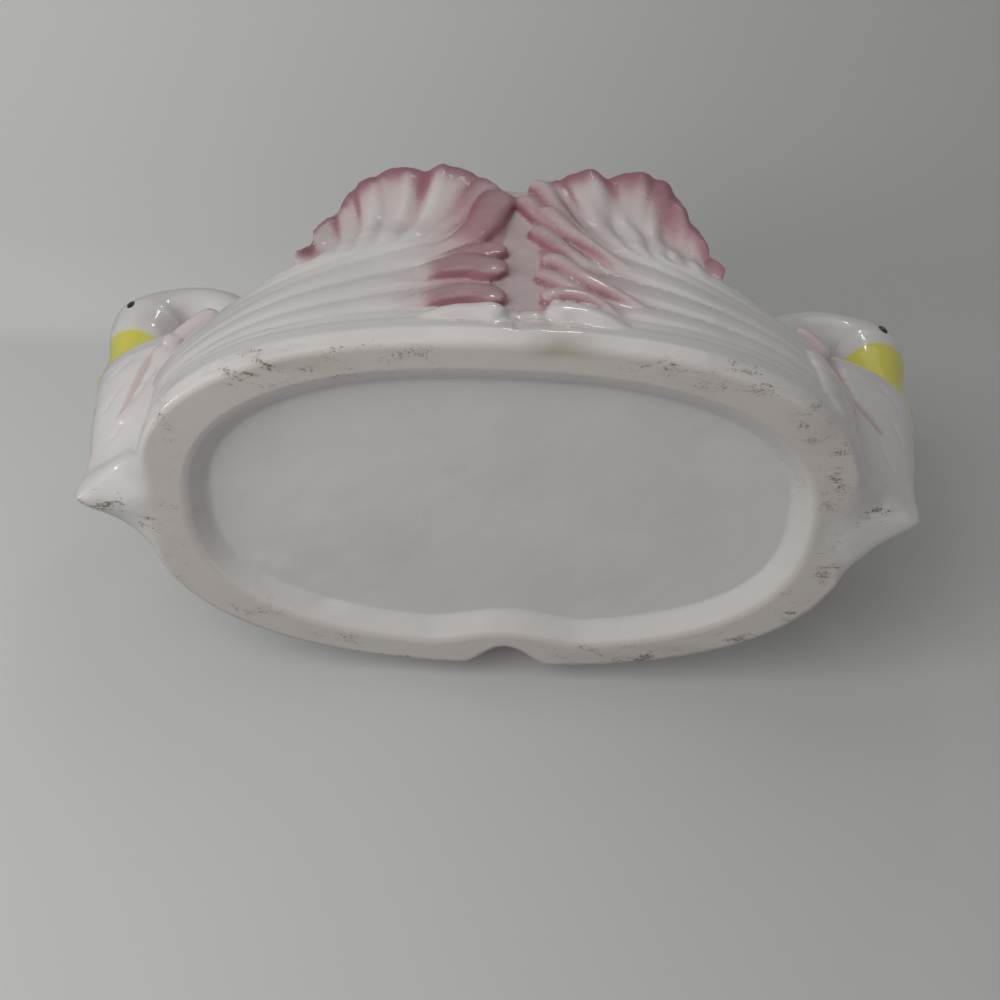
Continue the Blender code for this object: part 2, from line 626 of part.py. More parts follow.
def breast_level(t):
    """Height, reach, half width and fullness of the breast's swell, from the keel (t=0) up."""
    _, _, _, tip = spine_marks()
    (tip_x, _), _ = spine(tip)
    fullest = tip_x - BILL_TIP_RADIUS - BILL_CLEARANCE
    base = FOOT_HEIGHT + SEAM
    neck_front = NECK_X + NECK_BASE_RADIUS
    marks = [0.0, 0.18, 0.42, 0.58, 0.72, 0.82, 0.9, 0.96, 1.0]
    heights = [base + (ROOF_HEIGHT - base) * h for h in (0.0, 0.2, 0.46, 0.6, 0.74, 0.85, 0.93, 0.985, 1.0)]
    reaches = [KEEL_REACH, KEEL_REACH + 0.3 * (fullest - KEEL_REACH), fullest - 0.4 * MM, fullest,
               fullest - 1.4 * MM, neck_front + 0.78 * (fullest - neck_front),
               neck_front + 0.5 * (fullest - neck_front), neck_front + 0.22 * (fullest - neck_front),
               neck_front + 0.8 * MM]
    widths = [KEEL_HALF_WIDTH * 0.9, 17.0 * MM, 24.0 * MM, 25.0 * MM, 24.5 * MM, 23.5 * MM,
              22.0 * MM, 20.5 * MM, 19.0 * MM]
    fine = [1.1, 1.4, 1.9, 2.0, 2.0, 2.0, 2.0, 2.0, 2.0]
    full = [1.5, 1.0, 0.65, 0.6, 0.6, 0.6, 0.6, 0.6, 0.6]
    return [float(np.interp(t, marks, row)) for row in (heights, reaches, widths, fine, full)]


def breast_outline(z, reach, half_width, fineness, fullness, inset):
    """Plan of the breast at one height: it hugs the wings' inner skin, then swells out."""
    level = min(z, RIDGE_TOP + RIDGE_BULGE)
    climb = (z - level) / (ROOF_HEIGHT - RIDGE_TOP - RIDGE_BULGE)
    gap = WALL + LUTE_GAP + inset
    a = side_half_length(level) - gap
    b = side_half_width(level) - gap - ROOF_DOME * climb ** 2
    back = math.asin((MOUTH_X / a) ** (SIDE_ROUNDNESS / 2.0))
    swell = max(reach - inset - a, 0.0)
    free = smooth_step(0.0, 1.0, (z - SHOULDER_TOP) / (ROOF_HEIGHT - SHOULDER_TOP))
    half_width = min(half_width, shoulder_half_width(min(z, SHOULDER_TOP)) + free * NECK_RADIUS) - 1.1 * inset
    points = []
    for i in range(BREAST_STEPS + 1):
        t = 2.0 * i / BREAST_STEPS - 1.0
        angle = 0.5 * math.pi + (0.5 * math.pi - back) * math.copysign(abs(t) ** 1.25, t)
        x, y = oval(a, b, SIDE_ROUNDNESS, angle)
        if i in (0, BREAST_STEPS):
            x = MOUTH_X
        points.append((x + swell * nose(y, half_width, fineness, fullness), y))
    return points


def make_breast(name, side):
    """Hollow breast of one swan, open into the pot, with a flat seat for the neck."""
    rows = 11
    outer, inner = [], []
    for r in range(rows):
        t = r / (rows - 1)
        z, reach, half_width, fine, full = breast_level(t)
        base = FOOT_HEIGHT + SEAM
        low = base + (z - base) * (ROOF_HEIGHT - WALL - base) / (ROOF_HEIGHT - base)
        outer.append([(side * x, y, z)
                      for x, y in breast_outline(z, reach, half_width, fine, full, 0.0)])
        inner.append([(side * x, y, low)
                      for x, y in breast_outline(low, reach, half_width, fine, full, WALL)])
    columns = BREAST_STEPS + 1
    points = [p for ring in outer for p in ring] + [p for ring in inner for p in ring]
    half = rows * columns
    faces = []
    for r in range(rows - 1):
        for c in range(columns - 1):
            a = r * columns + c
            quad = (a, a + 1, a + columns + 1, a + columns)
            faces.append(quad)
            faces.append(tuple(half + i for i in reversed(quad)))
        for c in (0, columns - 1):
            a = r * columns + c
            faces.append((a, a + columns, half + a + columns, half + a))
    for c in range(columns - 1):
        faces.append((c, c + 1, half + c + 1, half + c))
    roof = [(rows - 1) * columns + c for c in range(columns)]
    faces.append(tuple(roof))
    faces.append(tuple(half + i for i in reversed(roof)))
    faces.append((roof[0], roof[-1], half + roof[-1], half + roof[0]))
    add_object(name, points, faces, WHITE)


def build():
    clear_scene()
    make_basin()
    for label, side in (("left", -1), ("right", 1)):
        make_breast(label + "_breast", side)
        make_wing("front_" + label + "_wing", side, -1)
        make_wing("back_" + label + "_wing", side, 1)
        make_neck_and_head(label, side)
        make_eye(label + "_front_eye", side, -1)
        make_eye(label + "_back_eye", side, 1)
    make_panel("front_panel", -1)
    make_panel("back_panel", 1)


build()
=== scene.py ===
import math

import bmesh
import bpy
import numpy as np
from mathutils import Matrix, Vector, kdtree, noise


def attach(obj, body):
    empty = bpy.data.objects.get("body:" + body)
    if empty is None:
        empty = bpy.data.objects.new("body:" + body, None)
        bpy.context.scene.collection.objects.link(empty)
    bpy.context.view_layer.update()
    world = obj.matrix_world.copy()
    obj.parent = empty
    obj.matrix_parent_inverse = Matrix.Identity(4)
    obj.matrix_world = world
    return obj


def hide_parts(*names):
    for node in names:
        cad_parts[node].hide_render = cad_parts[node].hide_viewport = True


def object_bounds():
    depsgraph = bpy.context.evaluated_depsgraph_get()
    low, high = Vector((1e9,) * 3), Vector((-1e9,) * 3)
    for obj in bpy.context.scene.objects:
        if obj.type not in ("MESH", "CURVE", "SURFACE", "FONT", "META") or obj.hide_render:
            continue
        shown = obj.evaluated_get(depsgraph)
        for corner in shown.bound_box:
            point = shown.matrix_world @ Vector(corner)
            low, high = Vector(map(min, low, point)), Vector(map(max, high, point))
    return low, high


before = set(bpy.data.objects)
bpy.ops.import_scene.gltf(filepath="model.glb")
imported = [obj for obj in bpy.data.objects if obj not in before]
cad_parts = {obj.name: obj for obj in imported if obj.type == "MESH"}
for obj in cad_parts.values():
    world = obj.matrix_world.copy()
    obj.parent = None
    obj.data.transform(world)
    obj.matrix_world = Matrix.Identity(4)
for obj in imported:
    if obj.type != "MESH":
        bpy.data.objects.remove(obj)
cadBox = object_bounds()

mm = 0.001      # every size below is in millimetres
sides = (("left", -1), ("right", 1))
facings = (("front", -1), ("back", 1))

skinFinish = {
    "voxel": 0.85,          # the forms are cast together at this fineness
    "quickVoxel": 1.5,
    "smoothing": (0.55, -0.56), "smoothRounds": 3,
    "melt": (0.5,),
    "keelRounds": 30,       # the keels run into the breasts without an edge
    "keelFrom": (100.0, 108.0), "keelTop": (24.0, 34.0),
    "tipFrom": (116.0, 123.0), "tipTop": (7.0, 12.0), "tipShare": 0.8,
    "endRounds": 40,        # the crown ends are soft rolls
    "crownRounds": 9,
    "crownFrom": (60.0, 76.0), "crownSide": (44.0, 50.0),
    "wobble": 0.30,         # slow unevenness of a hand-finished cast
    "wobbleLength": 26.0,
    "ripple": 0.09,         # glaze that ran a little before it set
    "rippleLength": 6.5,
}


# small maths
def smoothStep(low, high, value):
    t = np.clip((np.asarray(value, float) - low) / (high - low), 0.0, 1.0)
    return t * t * (3.0 - 2.0 * t)


def hump(value, middle, halfWidth):
    q = np.minimum(np.abs(np.asarray(value, float) - middle) / halfWidth, 1.0)
    return (1.0 - q * q) ** 2


def fullTurn(count):
    return np.linspace(0.0, 2.0 * math.pi, count, endpoint=False)


def travelOf(line):
    return np.concatenate([[0.0], np.cumsum(np.linalg.norm(np.diff(line, axis=0), axis=1))])


def ovalPoint(halfLength, halfWidth, roundness, angle):
    s, c = np.sin(angle), np.cos(angle)
    x = halfLength * np.sign(s) * np.abs(s) ** (2.0 / roundness)
    y = -halfWidth * np.sign(c) * np.abs(c) ** (2.0 / roundness)
    return x, y


# smooth curve through a short row, level at both ends, as a fine table
def easedTable(marks, row, step=0.25):
    marks, row = np.array(marks, float), np.array(row, float)
    slopes = np.zeros(len(row))
    slopes[1:-1] = (row[2:] - row[:-2]) / (marks[2:] - marks[:-2])
    where = np.arange(marks[0], marks[-1] + step, step)
    k = np.clip(np.searchsorted(marks, where, side="right") - 1, 0, len(marks) - 2)
    span = marks[k + 1] - marks[k]
    t = np.clip((where - marks[k]) / span, 0.0, 1.0)
    curve = ((2 * t ** 3 - 3 * t ** 2 + 1) * row[k] + (t ** 3 - 2 * t ** 2 + t) * span * slopes[k]
             + (3 * t ** 2 - 2 * t ** 3) * row[k + 1] + (t ** 3 - t ** 2) * span * slopes[k + 1])
    return where, curve


# one closed form that goes into the cast, with paint carried on its points
class Form:

    def __init__(self, piece, points, faces, **paint):
        self.piece = piece
        self.points = np.asarray(points, float)
        self.faces = faces
        self.paint = paint


forms = []


def addForm(piece, points, faces, **paint):
    forms.append(Form(piece, points, faces, **paint))


# faces of two matching grids, outer then inner, closed round their edge
def shellFaces(columns, rows):
    half = columns * rows
    faces = []
    for c in range(columns - 1):
        for r in range(rows - 1):
            a = c * rows + r
            faces.append((a, a + 1, a + rows + 1, a + rows))
            faces.append((half + a + rows, half + a + rows + 1, half + a + 1, half + a))
    rim = [c * rows for c in range(columns)]
    rim += [(columns - 1) * rows + r for r in range(1, rows)]
    rim += [c * rows + rows - 1 for c in range(columns - 2, -1, -1)]
    rim += list(range(rows - 2, 0, -1))
    for a, b in zip(rim, rim[1:] + rim[:1]):
        faces.append((b, a, half + a, half + b))
    return faces


# rings with a pole point before and after them
def loftFaces(ringCount, around):
    faces = []
    last = 1 + ringCount * around
    for i in range(around):
        j = (i + 1) % around
        faces.append((0, 1 + j, 1 + i))
        for r in range(ringCount - 1):
            a = 1 + r * around
            faces.append((a + i, a + j, a + around + j, a + around + i))
        a = 1 + (ringCount - 1) * around
        faces.append((last, a + i, a + j))
    return faces


# foot, recess, keels and planting floor
foot = {
    "halfLength": 108.0, "halfWidth": 59.5, "roundness": 2.45,
    "recessLength": 93.5, "recessWidth": 51.0, "recessDepth": 6.0, "recessSlope": 6.0,
    "height": 12.0, "bevel": 1.6, "edge": 1.2,
    "sink": 1.0,                   # how far the foot runs up into what stands on it
    "bedLength": 84.0, "bedWidth": 46.5, "bedDepth": 1.0,
    "keelReach": 128.0, "keelWidth": 17.0, "keelLift": 1.2,
    "rightKeelLift": 4.0,          # the right keel was knocked up a little in the soft cast,
    "rightKeelFrom": (106.0, 126.0),    # more and more between these distances
    "seamOffset": 3.5, "notchWidth": 10.5, "notchDepth": 8.0,
    "notchBulge": 4.5, "notchSpread": 26.0,
    "around": 420,
}


def footRing(halfLength, halfWidth, keelReach, notch, bulge, z, keelZ=None):
    angle = fullTurn(foot["around"])
    x, y = ovalPoint(halfLength, halfWidth, foot["roundness"], angle)
    q = np.minimum(np.abs(y) / foot["keelWidth"], 1.0)
    swell = (1.0 - q ** 1.15) ** 1.5 * (keelReach > 0.0)
    side = np.where(x < 0.0, -1.0, 1.0)
    height = np.full_like(x, z)
    if keelZ is not None:
        reach = x + side * (keelReach - halfLength) * swell
        right = foot["rightKeelLift"] * smoothStep(*foot["rightKeelFrom"], reach)
        height = height + (keelZ - z + right) * swell
    x = x + side * max(keelReach - halfLength, 0.0) * swell
    back = y > 0.0
    y = y - back * notch * hump(x, foot["seamOffset"], 1.35 * foot["notchWidth"])
    y = y - back * bulge * hump(x, foot["seamOffset"], foot["notchSpread"])
    return np.stack([x, y, height], 1)


def castBasin():
    f = foot
    length, width, keel, notch = f["halfLength"], f["halfWidth"], f["keelReach"], f["notchDepth"]
    hollowLength, hollowWidth, bulge = f["recessLength"], f["recessWidth"], f["notchBulge"]
    lean, edge, slope = f["bevel"], f["edge"], f["recessSlope"]
    roof, top, bed = f["recessDepth"], f["height"] + f["sink"], f["height"] - f["bedDepth"]
    # from the middle of the recess out, up the side, and back in over the bed
    rows = [((hollowLength - slope) * share, (hollowWidth - slope) * share, 0.0, 0.0, bulge * share, roof)
            for share in (0.25, 0.5, 0.75, 0.9, 1.0)]
    rows += [
        (hollowLength - edge, hollowWidth - edge, 0.0, 0.0, bulge, 0.6 * edge),
        (hollowLength + 0.4, hollowWidth + 0.4, 0.0, 0.0, bulge, 0.0),
        (length - edge, width - edge, keel - 1.5 * edge, notch, 0.0, 0.0, f["keelLift"]),
        (length, width, keel, notch, 0.0, 0.8, f["keelLift"] + 0.8),
        (length + lean, width + lean, keel + 0.4 * lean, 0.75 * notch, 0.0, 0.5 * f["height"]),
        (length + lean, width + 0.6 * lean, keel + 0.8 * lean, 0.75 * notch, 0.0, top),
        (f["bedLength"] + 1.0, f["bedWidth"] + 1.0, 0.0, 0.0, 0.0, top),
    ]
    rows += [(f["bedLength"] * share, f["bedWidth"] * share, 0.0, 0.0, 0.0, bed)
             for share in (1.0, 0.75, 0.5, 0.25)]
    rings = [footRing(*row) for row in rows]
    points = np.concatenate([[(0.0, 0.0, roof)], *rings, [(0.0, 0.0, bed)]])
    addForm("basin", points, loftFaces(len(rings), f["around"]))


# wings
wing = {
    "roundness": 2.4,
    "top": 130.0, "halfLength": 110.0, "halfWidth": 58.5,
    "levels": (0.0, 0.15, 0.32, 0.49, 0.645, 0.79, 1.0),
    "lengths": (1.0, 1.027, 1.0, 0.918, 0.836, 0.782, 0.764),
    "widths": (1.008, 1.0, 0.992, 0.992, 1.0, 1.026, 1.043),
    "wall": 4.5, "tipWall": 3.6, "endWall": 2.4,
    "panelHalf": 7.2, "panelTopHalf": 3.4, "panelTop": 104.0,
    "sill": 7.5,
    "lobes": (0.23, 0.57, 0.957),
    "crownTips": 8, "crownAlong": 38.5, "crownHeight": 82.0, "crownHalfSpan": 37.5,
    "crownRise": 34.0, "crownLean": 5.0, "crownFirst": 150.0, "crownLast": -24.0,
    "crownSquareness": 0.62,
    "scallop": 2.4, "tipPower": 2.3,       # how deep the scallops are cut, and how square the tips stay
    "rib": 1.9, "ribPower": 2.6, "ribFullness": 0.7, "crestRise": 1.3, "crestDip": 2.2,
    "flare": 4.5, "rightFlare": 3.6,       # the right crown leans out further, most of all
    "rightFlareFrom": (38.0, 66.0), "rightFlareTo": (66.0, 76.0),       # between these places
    "shoulderAlong": 117.0, "shoulderRake": 11.0, "shoulderTop": 54.0,
    "ridgeAlong": 73.0, "ridgeTop": 62.0, "ridgeBulge": 2.5,
    "fullRelief": 8.0, "crestElbow": 45.0, "crestSag": 9.0, "crestShare": 0.57,
    "crestRound": 0.05, "endNotch": 1.2,
    "knobRise": 0.8, "knobReach": 5.0, "knobs": 3,
    "bite": 1.5,            # how far the wings run down into the foot
    "calm": 0.65, "calmFrom": (12.0, 42.0),       # lower ribs near the panel, where the fingers take over
    "bandSteps": 14, "featherSteps": 60,
}

levels = foot["height"] + (wing["top"] - foot["height"]) * np.array(wing["levels"])
lengthTable = easedTable(levels, wing["halfLength"] * np.array(wing["lengths"]))
widthTable = easedTable(levels, wing["halfWidth"] * np.array(wing["widths"]))


def sideHalfLength(z):
    return np.interp(z, *lengthTable)


def sideHalfWidth(z):
    return np.interp(z, *widthTable)


# distance round the wall from the front middle, against the angle in plan
def wallTable():
    fine = np.linspace(0.0, 0.5 * math.pi, 2001)
    x, y = ovalPoint(sideHalfLength(30.0), sideHalfWidth(30.0), wing["roundness"], fine)
    return np.concatenate([[0.0], np.cumsum(np.hypot(np.diff(x), np.diff(y)))]), fine


roundWall = wallTable()


# right front wall: distance round it, height, and how far a skin stands off it
def wallPoint(along, z, outward):
    angle = np.sign(along) * np.interp(np.abs(along), *roundWall)
    a, b = sideHalfLength(z), sideHalfWidth(z)
    power = wing["roundness"]
    x, y = ovalPoint(a, b, power, angle)
    nx = np.sign(x) * np.abs(x / a) ** (power - 1.0) / a
    ny = np.sign(y) * np.abs(y / b) ** (power - 1.0) / b
    size = np.hypot(nx, ny)
    return x + outward * nx / size, y + outward * ny / size, z


def panelHalfWidth(z):
    share = (z - foot["height"]) / (wing["panelTop"] - foot["height"])
    return wing["panelHalf"] + (wing["panelTopHalf"] - wing["panelHalf"]) * share ** 2


# three tips that face the panel, then the crown
def featherTips():
    low = foot["height"]
    tips = [(panelHalfWidth(z), z) for z in (low + (wing["crownHeight"] - low) * h for h in wing["lobes"])]
    count = wing["crownTips"]
    for k in range(count):
        turn = math.radians(wing["crownFirst"] + (wing["crownLast"] - wing["crownFirst"]) * k / (count - 1))
        c = math.copysign(abs(math.cos(turn)) ** wing["crownSquareness"], math.cos(turn))
        s = math.copysign(abs(math.sin(turn)) ** wing["crownSquareness"], math.sin(turn))
        tips.append((wing["crownAlong"] + wing["crownHalfSpan"] * c,
                     wing["crownHeight"] + wing["crownRise"] * s + wing["crownLean"] * c))
    return [np.array(t, float) for t in tips]


def knobWave(v):
    return abs(math.sin(math.pi * wing["knobs"] * v)) * min(wing["knobs"] * v, 1.0)


def rootEdge(v):
    base = foot["height"]
    along = wing["shoulderAlong"] - wing["shoulderRake"] * v ** 1.6 + wing["knobReach"] * knobWave(v)
    return np.array([along, base + (wing["shoulderTop"] - base) * v])


def shoulderHalfWidth(z):
    base = foot["height"]
    climb = min(max((z - base) / (wing["shoulderTop"] - base), 0.0), 1.0)
    farthest = wing["shoulderAlong"] - wing["shoulderRake"] * climb ** 1.6 + 2.0 * wing["knobReach"]
    return -float(wallPoint(farthest, z, -wing["wall"])[1])


def lobeCrest(share, start, end):
    reach = 0.55 + 0.3 * share
    sag = wing["crestSag"] * float(smoothStep(0.2, 1.0, share))
    return start + reach * (end - start) - np.array([0.0, sag])


def crestLine(share, low):
    middle = np.array([wing["crestElbow"], wing["ridgeTop"] + wing["ridgeBulge"]])
    ridge = np.array([wing["ridgeAlong"], wing["ridgeTop"]])
    return (1 - share) ** 2 * low + 2 * share * (1 - share) * middle + share ** 2 * ridge


def scallopNotch(low, high, inward):
    middle = 0.5 * (low + high)
    return middle + wing["scallop"] * (inward - middle) / np.linalg.norm(inward - middle)


def tipEdge(band, w, tips, notches, sillStart, sillTop):
    base = foot["height"]
    if band == 0:
        if w <= 0.0:
            return np.array([sillStart, base + (sillTop - base) * (w + 1.0)])
        return np.array([sillStart + (notches[0][0] - sillStart) * w, sillTop])
    low, high = notches[band - 1], notches[band]
    chord = low + (high - low) * 0.5 * (w + 1.0)
    reach = tips[band - 1] - 0.5 * (low + high)
    power = wing["tipPower"]
    return chord + reach * (1.0 - abs(w) ** power) ** (1.0 / power)


# straight to the crest and on to the tip, corner rounded off
def featherLine(start, crest, end, u):
    share, soft = wing["crestShare"], wing["crestRound"]
    u = u[:, None]
    before = start + (crest - start) * u / share
    after = crest + (end - crest) * (u - share) / (1.0 - share)
    enter = start + (crest - start) * (1.0 - soft / share)
    leave = crest + (end - crest) * soft / (1.0 - share)
    t = np.clip(0.5 * (u - share + soft) / soft, 0.0, 1.0)
    corner = (1 - t) ** 2 * enter + 2 * t * (1 - t) * crest + t * t * leave
    return np.where(u <= share - soft, before, np.where(u >= share + soft, after, corner))


def fanGrid(sillStart):
    tips = featherTips()
    lobes = len(wing["lobes"])
    bands = len(tips) + 1
    sillTop = foot["height"] + wing["sill"]
    notches = [np.array([wing["panelHalf"] + 0.3 * wing["scallop"], sillTop])]
    for j in range(lobes):
        notches.append(scallopNotch(tips[j], tips[j + 1], rootEdge((j + 2) / bands)))
    topLobe = (lobes + 1) / bands
    lowCrest = lobeCrest(1.0, rootEdge(topLobe), notches[-1])
    for j in range(lobes, len(tips) - 1):
        share = ((j + 2) / bands - topLobe) / (1.0 - topLobe)
        notches.append(scallopNotch(tips[j], tips[j + 1], crestLine(share, lowCrest)))
    ridge = np.array([wing["ridgeAlong"], wing["ridgeTop"]])
    notches.append(0.5 * (tips[-1] + ridge) + np.array([wing["endNotch"], 0.0]))
    u = np.linspace(0.0, 1.0, wing["featherSteps"] + 1)
    steps = wing["bandSteps"]
    bandOf, wOf, vOf, grid = [], [], [], []
    for band in range(bands):
        for step in range(steps + (band == bands - 1)):
            w = -1.0 + 2.0 * step / steps
            v = (band + 0.5 * (w + 1.0)) / bands
            start = rootEdge(v)
            end = tipEdge(band, w, tips, notches, sillStart, sillTop)
            if v <= topLobe:
                crest = lobeCrest(v / topLobe, start, end)
            else:
                crest = crestLine((v - topLobe) / (1.0 - topLobe), lowCrest)
            bandOf.append(band)
            wOf.append(w)
            vOf.append(v)
            grid.append(featherLine(start, crest, end, u))
    return np.array(bandOf), np.array(wOf), np.array(vOf), u, np.array(grid)


# width of its band at every point of the fan, as a share of the width that carries full relief
def reliefShare(band, grid):
    width = np.zeros(grid.shape[:2])
    for b in range(band.max() + 1):
        first = b * wing["bandSteps"]
        width[band == b] = np.linalg.norm(grid[first + wing["bandSteps"]] - grid[first], axis=1)
    return np.minimum(width / wing["fullRelief"], 1.0)


# how far the crown leans out and rolls over
def crownForm(along, u, crown, share, sideX):
    clear = wing["panelHalf"] + panel["lap"] + foot["seamOffset"]       # room for the panel behind the wing
    form = wing["crestRise"] * hump(u, 0.5, 0.3) - wing["crestDip"] * hump(u, 0.78, 0.17)
    form = crown * smoothStep(1.5 * clear, 2.2 * clear, along) * form
    reach = (0.3 + 0.7 * smoothStep(0.0, wing["crownAlong"], along)) * (0.25 + 0.75 * crown)
    outerEnd = smoothStep(*wing["rightFlareFrom"], along)
    outerEnd = outerEnd * (1.0 - 0.9 * smoothStep(*wing["rightFlareTo"], along))
    flare = wing["flare"] + wing["rightFlare"] * (sideX > 0) * outerEnd
    return share * (form + reach * flare * smoothStep(0.7, 1.0, u))


paint = {
    "rimReach": 0.24, "rimPower": 1.2,       # share of a crown feather under the pink rim, and its fade
    "rightRimReach": 0.34, "rightRimFrom": (44.0, 66.0),      # more at the outer end of the right crown
    "grooves": 1.0,           # pink that ran down between the crown feathers
    "blush": 0.4,             # faint colour over the top of the crown
    "lobes": 0.84,            # beside the panel
    "knobs": 0.35,            # at the shoulders
    "petalsClear": 0.92,      # how clean the petals stay
    "edgeFade": (-14.0, 11.0), "lowLoss": 0.75, "lowFade": (14.0, 22.0),      # past the edge, and down low
    # where the spray ends, round the wall, at these heights
    "leftEdge": ((12.0, 30.0, 68.0, 85.0, 99.0, 118.0), (26.0, 30.0, 29.0, 34.0, 33.0, 28.0)),
    "rightEdge": ((12.0, 30.0, 60.0, 85.0, 100.0, 118.0), (29.0, 36.0, 36.0, 31.0, 26.0, 22.0)),
}


# the spray, which faded out away from the panel and down from the rim
def wingSpray(along, z, u, v, w, crown, petal, sideX):
    edge = np.interp(z, *paint["leftEdge" if sideX < 0 else "rightEdge"])
    lobe = 1.0 - smoothStep(*paint["edgeFade"], along - edge)
    lobe = lobe * (1.0 - paint["lowLoss"] * (1.0 - smoothStep(*paint["lowFade"], z)))
    lobe = paint["lobes"] * lobe * (0.8 + 0.2 * np.abs(w))
    further = (sideX > 0) * smoothStep(*paint["rightRimFrom"], along)
    rimReach = paint["rimReach"] + paint["rightRimReach"] * further
    rim = smoothStep(1.0 - rimReach, 1.0, u) ** paint["rimPower"] * crown
    groove = paint["grooves"] * smoothStep(0.3, 0.95, np.abs(w)) * smoothStep(0.6, 0.95, u) * crown
    blush = paint["blush"] * smoothStep(0.6, 0.9, u) * crown
    shoulder = paint["knobs"] * (1.0 - smoothStep(0.0, 0.1, u)) * smoothStep(0.15, 0.4, v)
    outside = np.maximum.reduce([rim, groove, blush, lobe, shoulder])
    return outside * (1.0 - paint["petalsClear"] * petal * (1.0 - rim)), 0.9 * rim ** 2


def castWing(name, sideX, sideY):
    band, w, v, u, grid = fanGrid(0.0 if sideY < 0 else wing["panelHalf"])
    share = reliefShare(band, grid)
    wave = np.array([knobWave(t) for t in v])[:, None]
    faces = shellFaces(len(band), len(u))
    band, w, v, u = band[:, None], w[:, None], v[:, None], u[None, :]
    along, low = grid[:, :, 0], foot["height"] - wing["bite"]
    z = np.where(grid[:, :, 1] <= foot["height"] + 0.01, low, np.maximum(grid[:, :, 1], low))
    crown = smoothStep(0.33, 0.5, v)
    form = crownForm(along, u, crown, share, sideX)
    rib = (1.0 - np.abs(w) ** wing["ribPower"]) ** wing["ribFullness"]
    swell = 0.15 + 0.85 * smoothStep(0.08, 0.7, u)
    knob = wing["knobRise"] * wave * (1.0 - smoothStep(0.03, 0.17, u))
    calm = 1.0 - wing["calm"] * (1.0 - smoothStep(*wing["calmFrom"], along))
    petal = petalHeight(along, z, sideX)
    outer = wing["rib"] * rib * swell * share * calm + form + knob + petals["rise"] * petal * share
    thick = wing["wall"] - (wing["wall"] - wing["tipWall"]) * smoothStep(0.85, 1.0, u)
    thick = thick + wing["endWall"] * smoothStep(0.84, 0.93, v) * smoothStep(0.6, 0.9, u)
    inner = np.maximum(form, 0.0) * 0.8 - thick + np.minimum(form, 0.0)
    outer = np.where(band == 0, 0.6 * wing["rib"], outer)            # band 0 is the plain sill
    inner = np.where(band == 0, -wing["wall"], inner)
    towardEnd = smoothStep(0.0, wing["crownAlong"] + wing["crownHalfSpan"], along)
    drift = foot["seamOffset"] * sideX * (1.0 - towardEnd)
    skins = []
    for rise in (outer, inner):
        x, y, height = wallPoint(along + drift, z, rise)
        skins.append(np.stack([sideX * x, -sideY * y, height], -1).reshape(-1, 3))
    spray = wingSpray(along, z, u, v, w, crown, petal, sideX)
    # the glaze is painted greyer in these valleys, for thick glaze and painted shade
    valley = share * swell * (1.0 - rib) * (band > 0)      # 1 in the valleys between feathers, outside only
    addForm(name, np.concatenate(skins), faces, spray=np.concatenate([side.ravel() for side in spray]),
            valley=np.concatenate([valley.ravel(), np.zeros(valley.size)]))


fingers = {     # rolled feather ends that overlap the panel
    # path (round the wall, height) from the free end, width there and at the root, rise, seat, pink
    "left": (
        (((3, 100), (7, 90), (10, 77), (17, 63), (30, 50)), 8.0, 5.5, 1.7, 2.2, 0.8),
        (((1, 62), (6, 59), (13, 55), (28, 47)), 5.4, 4.0, 1.3, 1.5, 0.76),
        (((1, 42), (9, 47), (18, 46), (36, 39)), 7.0, 5.0, 1.7, 1.7, 0.78),
        (((1, 23), (9, 28), (18, 26), (36, 18)), 5.8, 4.2, 1.8, 1.7, 0.76),
        (((0, 14), (8, 16), (18, 15), (32, 11)), 3.8, 1.8, 1.8, 1.8, 0.06),
    ),
    "right": (
        (((7, 107), (13, 104), (18, 92), (25, 77), (34, 64)), 4.4, 2.4, 1.8, 2.0, 0.62),
        (((2, 98), (7, 94), (11, 86), (17, 76), (26, 64)), 4.8, 2.6, 1.5, 1.5, 0.68),
        (((12, 89), (17, 82), (23, 71), (34, 58), (48, 48)), 4.0, 2.0, 2.0, 2.2, 0.58),
        (((8, 77), (12, 72), (19, 61), (30, 49)), 4.6, 2.4, 1.6, 1.5, 0.64),
        (((10, 52), (16, 50), (24, 39), (36, 29), (50, 20)), 3.8, 2.0, 2.0, 2.2, 0.6),
        (((8, 43), (13, 41), (20, 33), (32, 23)), 4.2, 2.2, 1.6, 1.5, 0.62),
        (((10, 24), (16, 28), (24, 26), (37, 15)), 3.6, 1.8, 2.1, 2.2, 0.6),
        (((12, 17), (19, 19), (29, 15), (41, 9)), 4.8, 2.4, 1.9, 1.8, 0.06),
    ),
    "crease": 0.32,         # more colour in the creases beside a painted finger
    "around": 22, "steps": 44,
}


# a smooth line through the corners of a path
def smoothPath(corners, count):
    corners = np.array(corners, float)
    ends = np.concatenate([[2 * corners[0] - corners[1]], corners, [2 * corners[-1] - corners[-2]]])
    where = np.linspace(0.0, len(corners) - 1.0001, count)
    k, t = where.astype(int), (where % 1.0)[:, None]
    a, b, c, d = ends[k], ends[k + 1], ends[k + 2], ends[k + 3]
    square, cube = 2 * a - 5 * b + 4 * c - d, 3 * b - a - 3 * c + d
    return 0.5 * (2 * b + (c - a) * t + square * t ** 2 + cube * t ** 3)


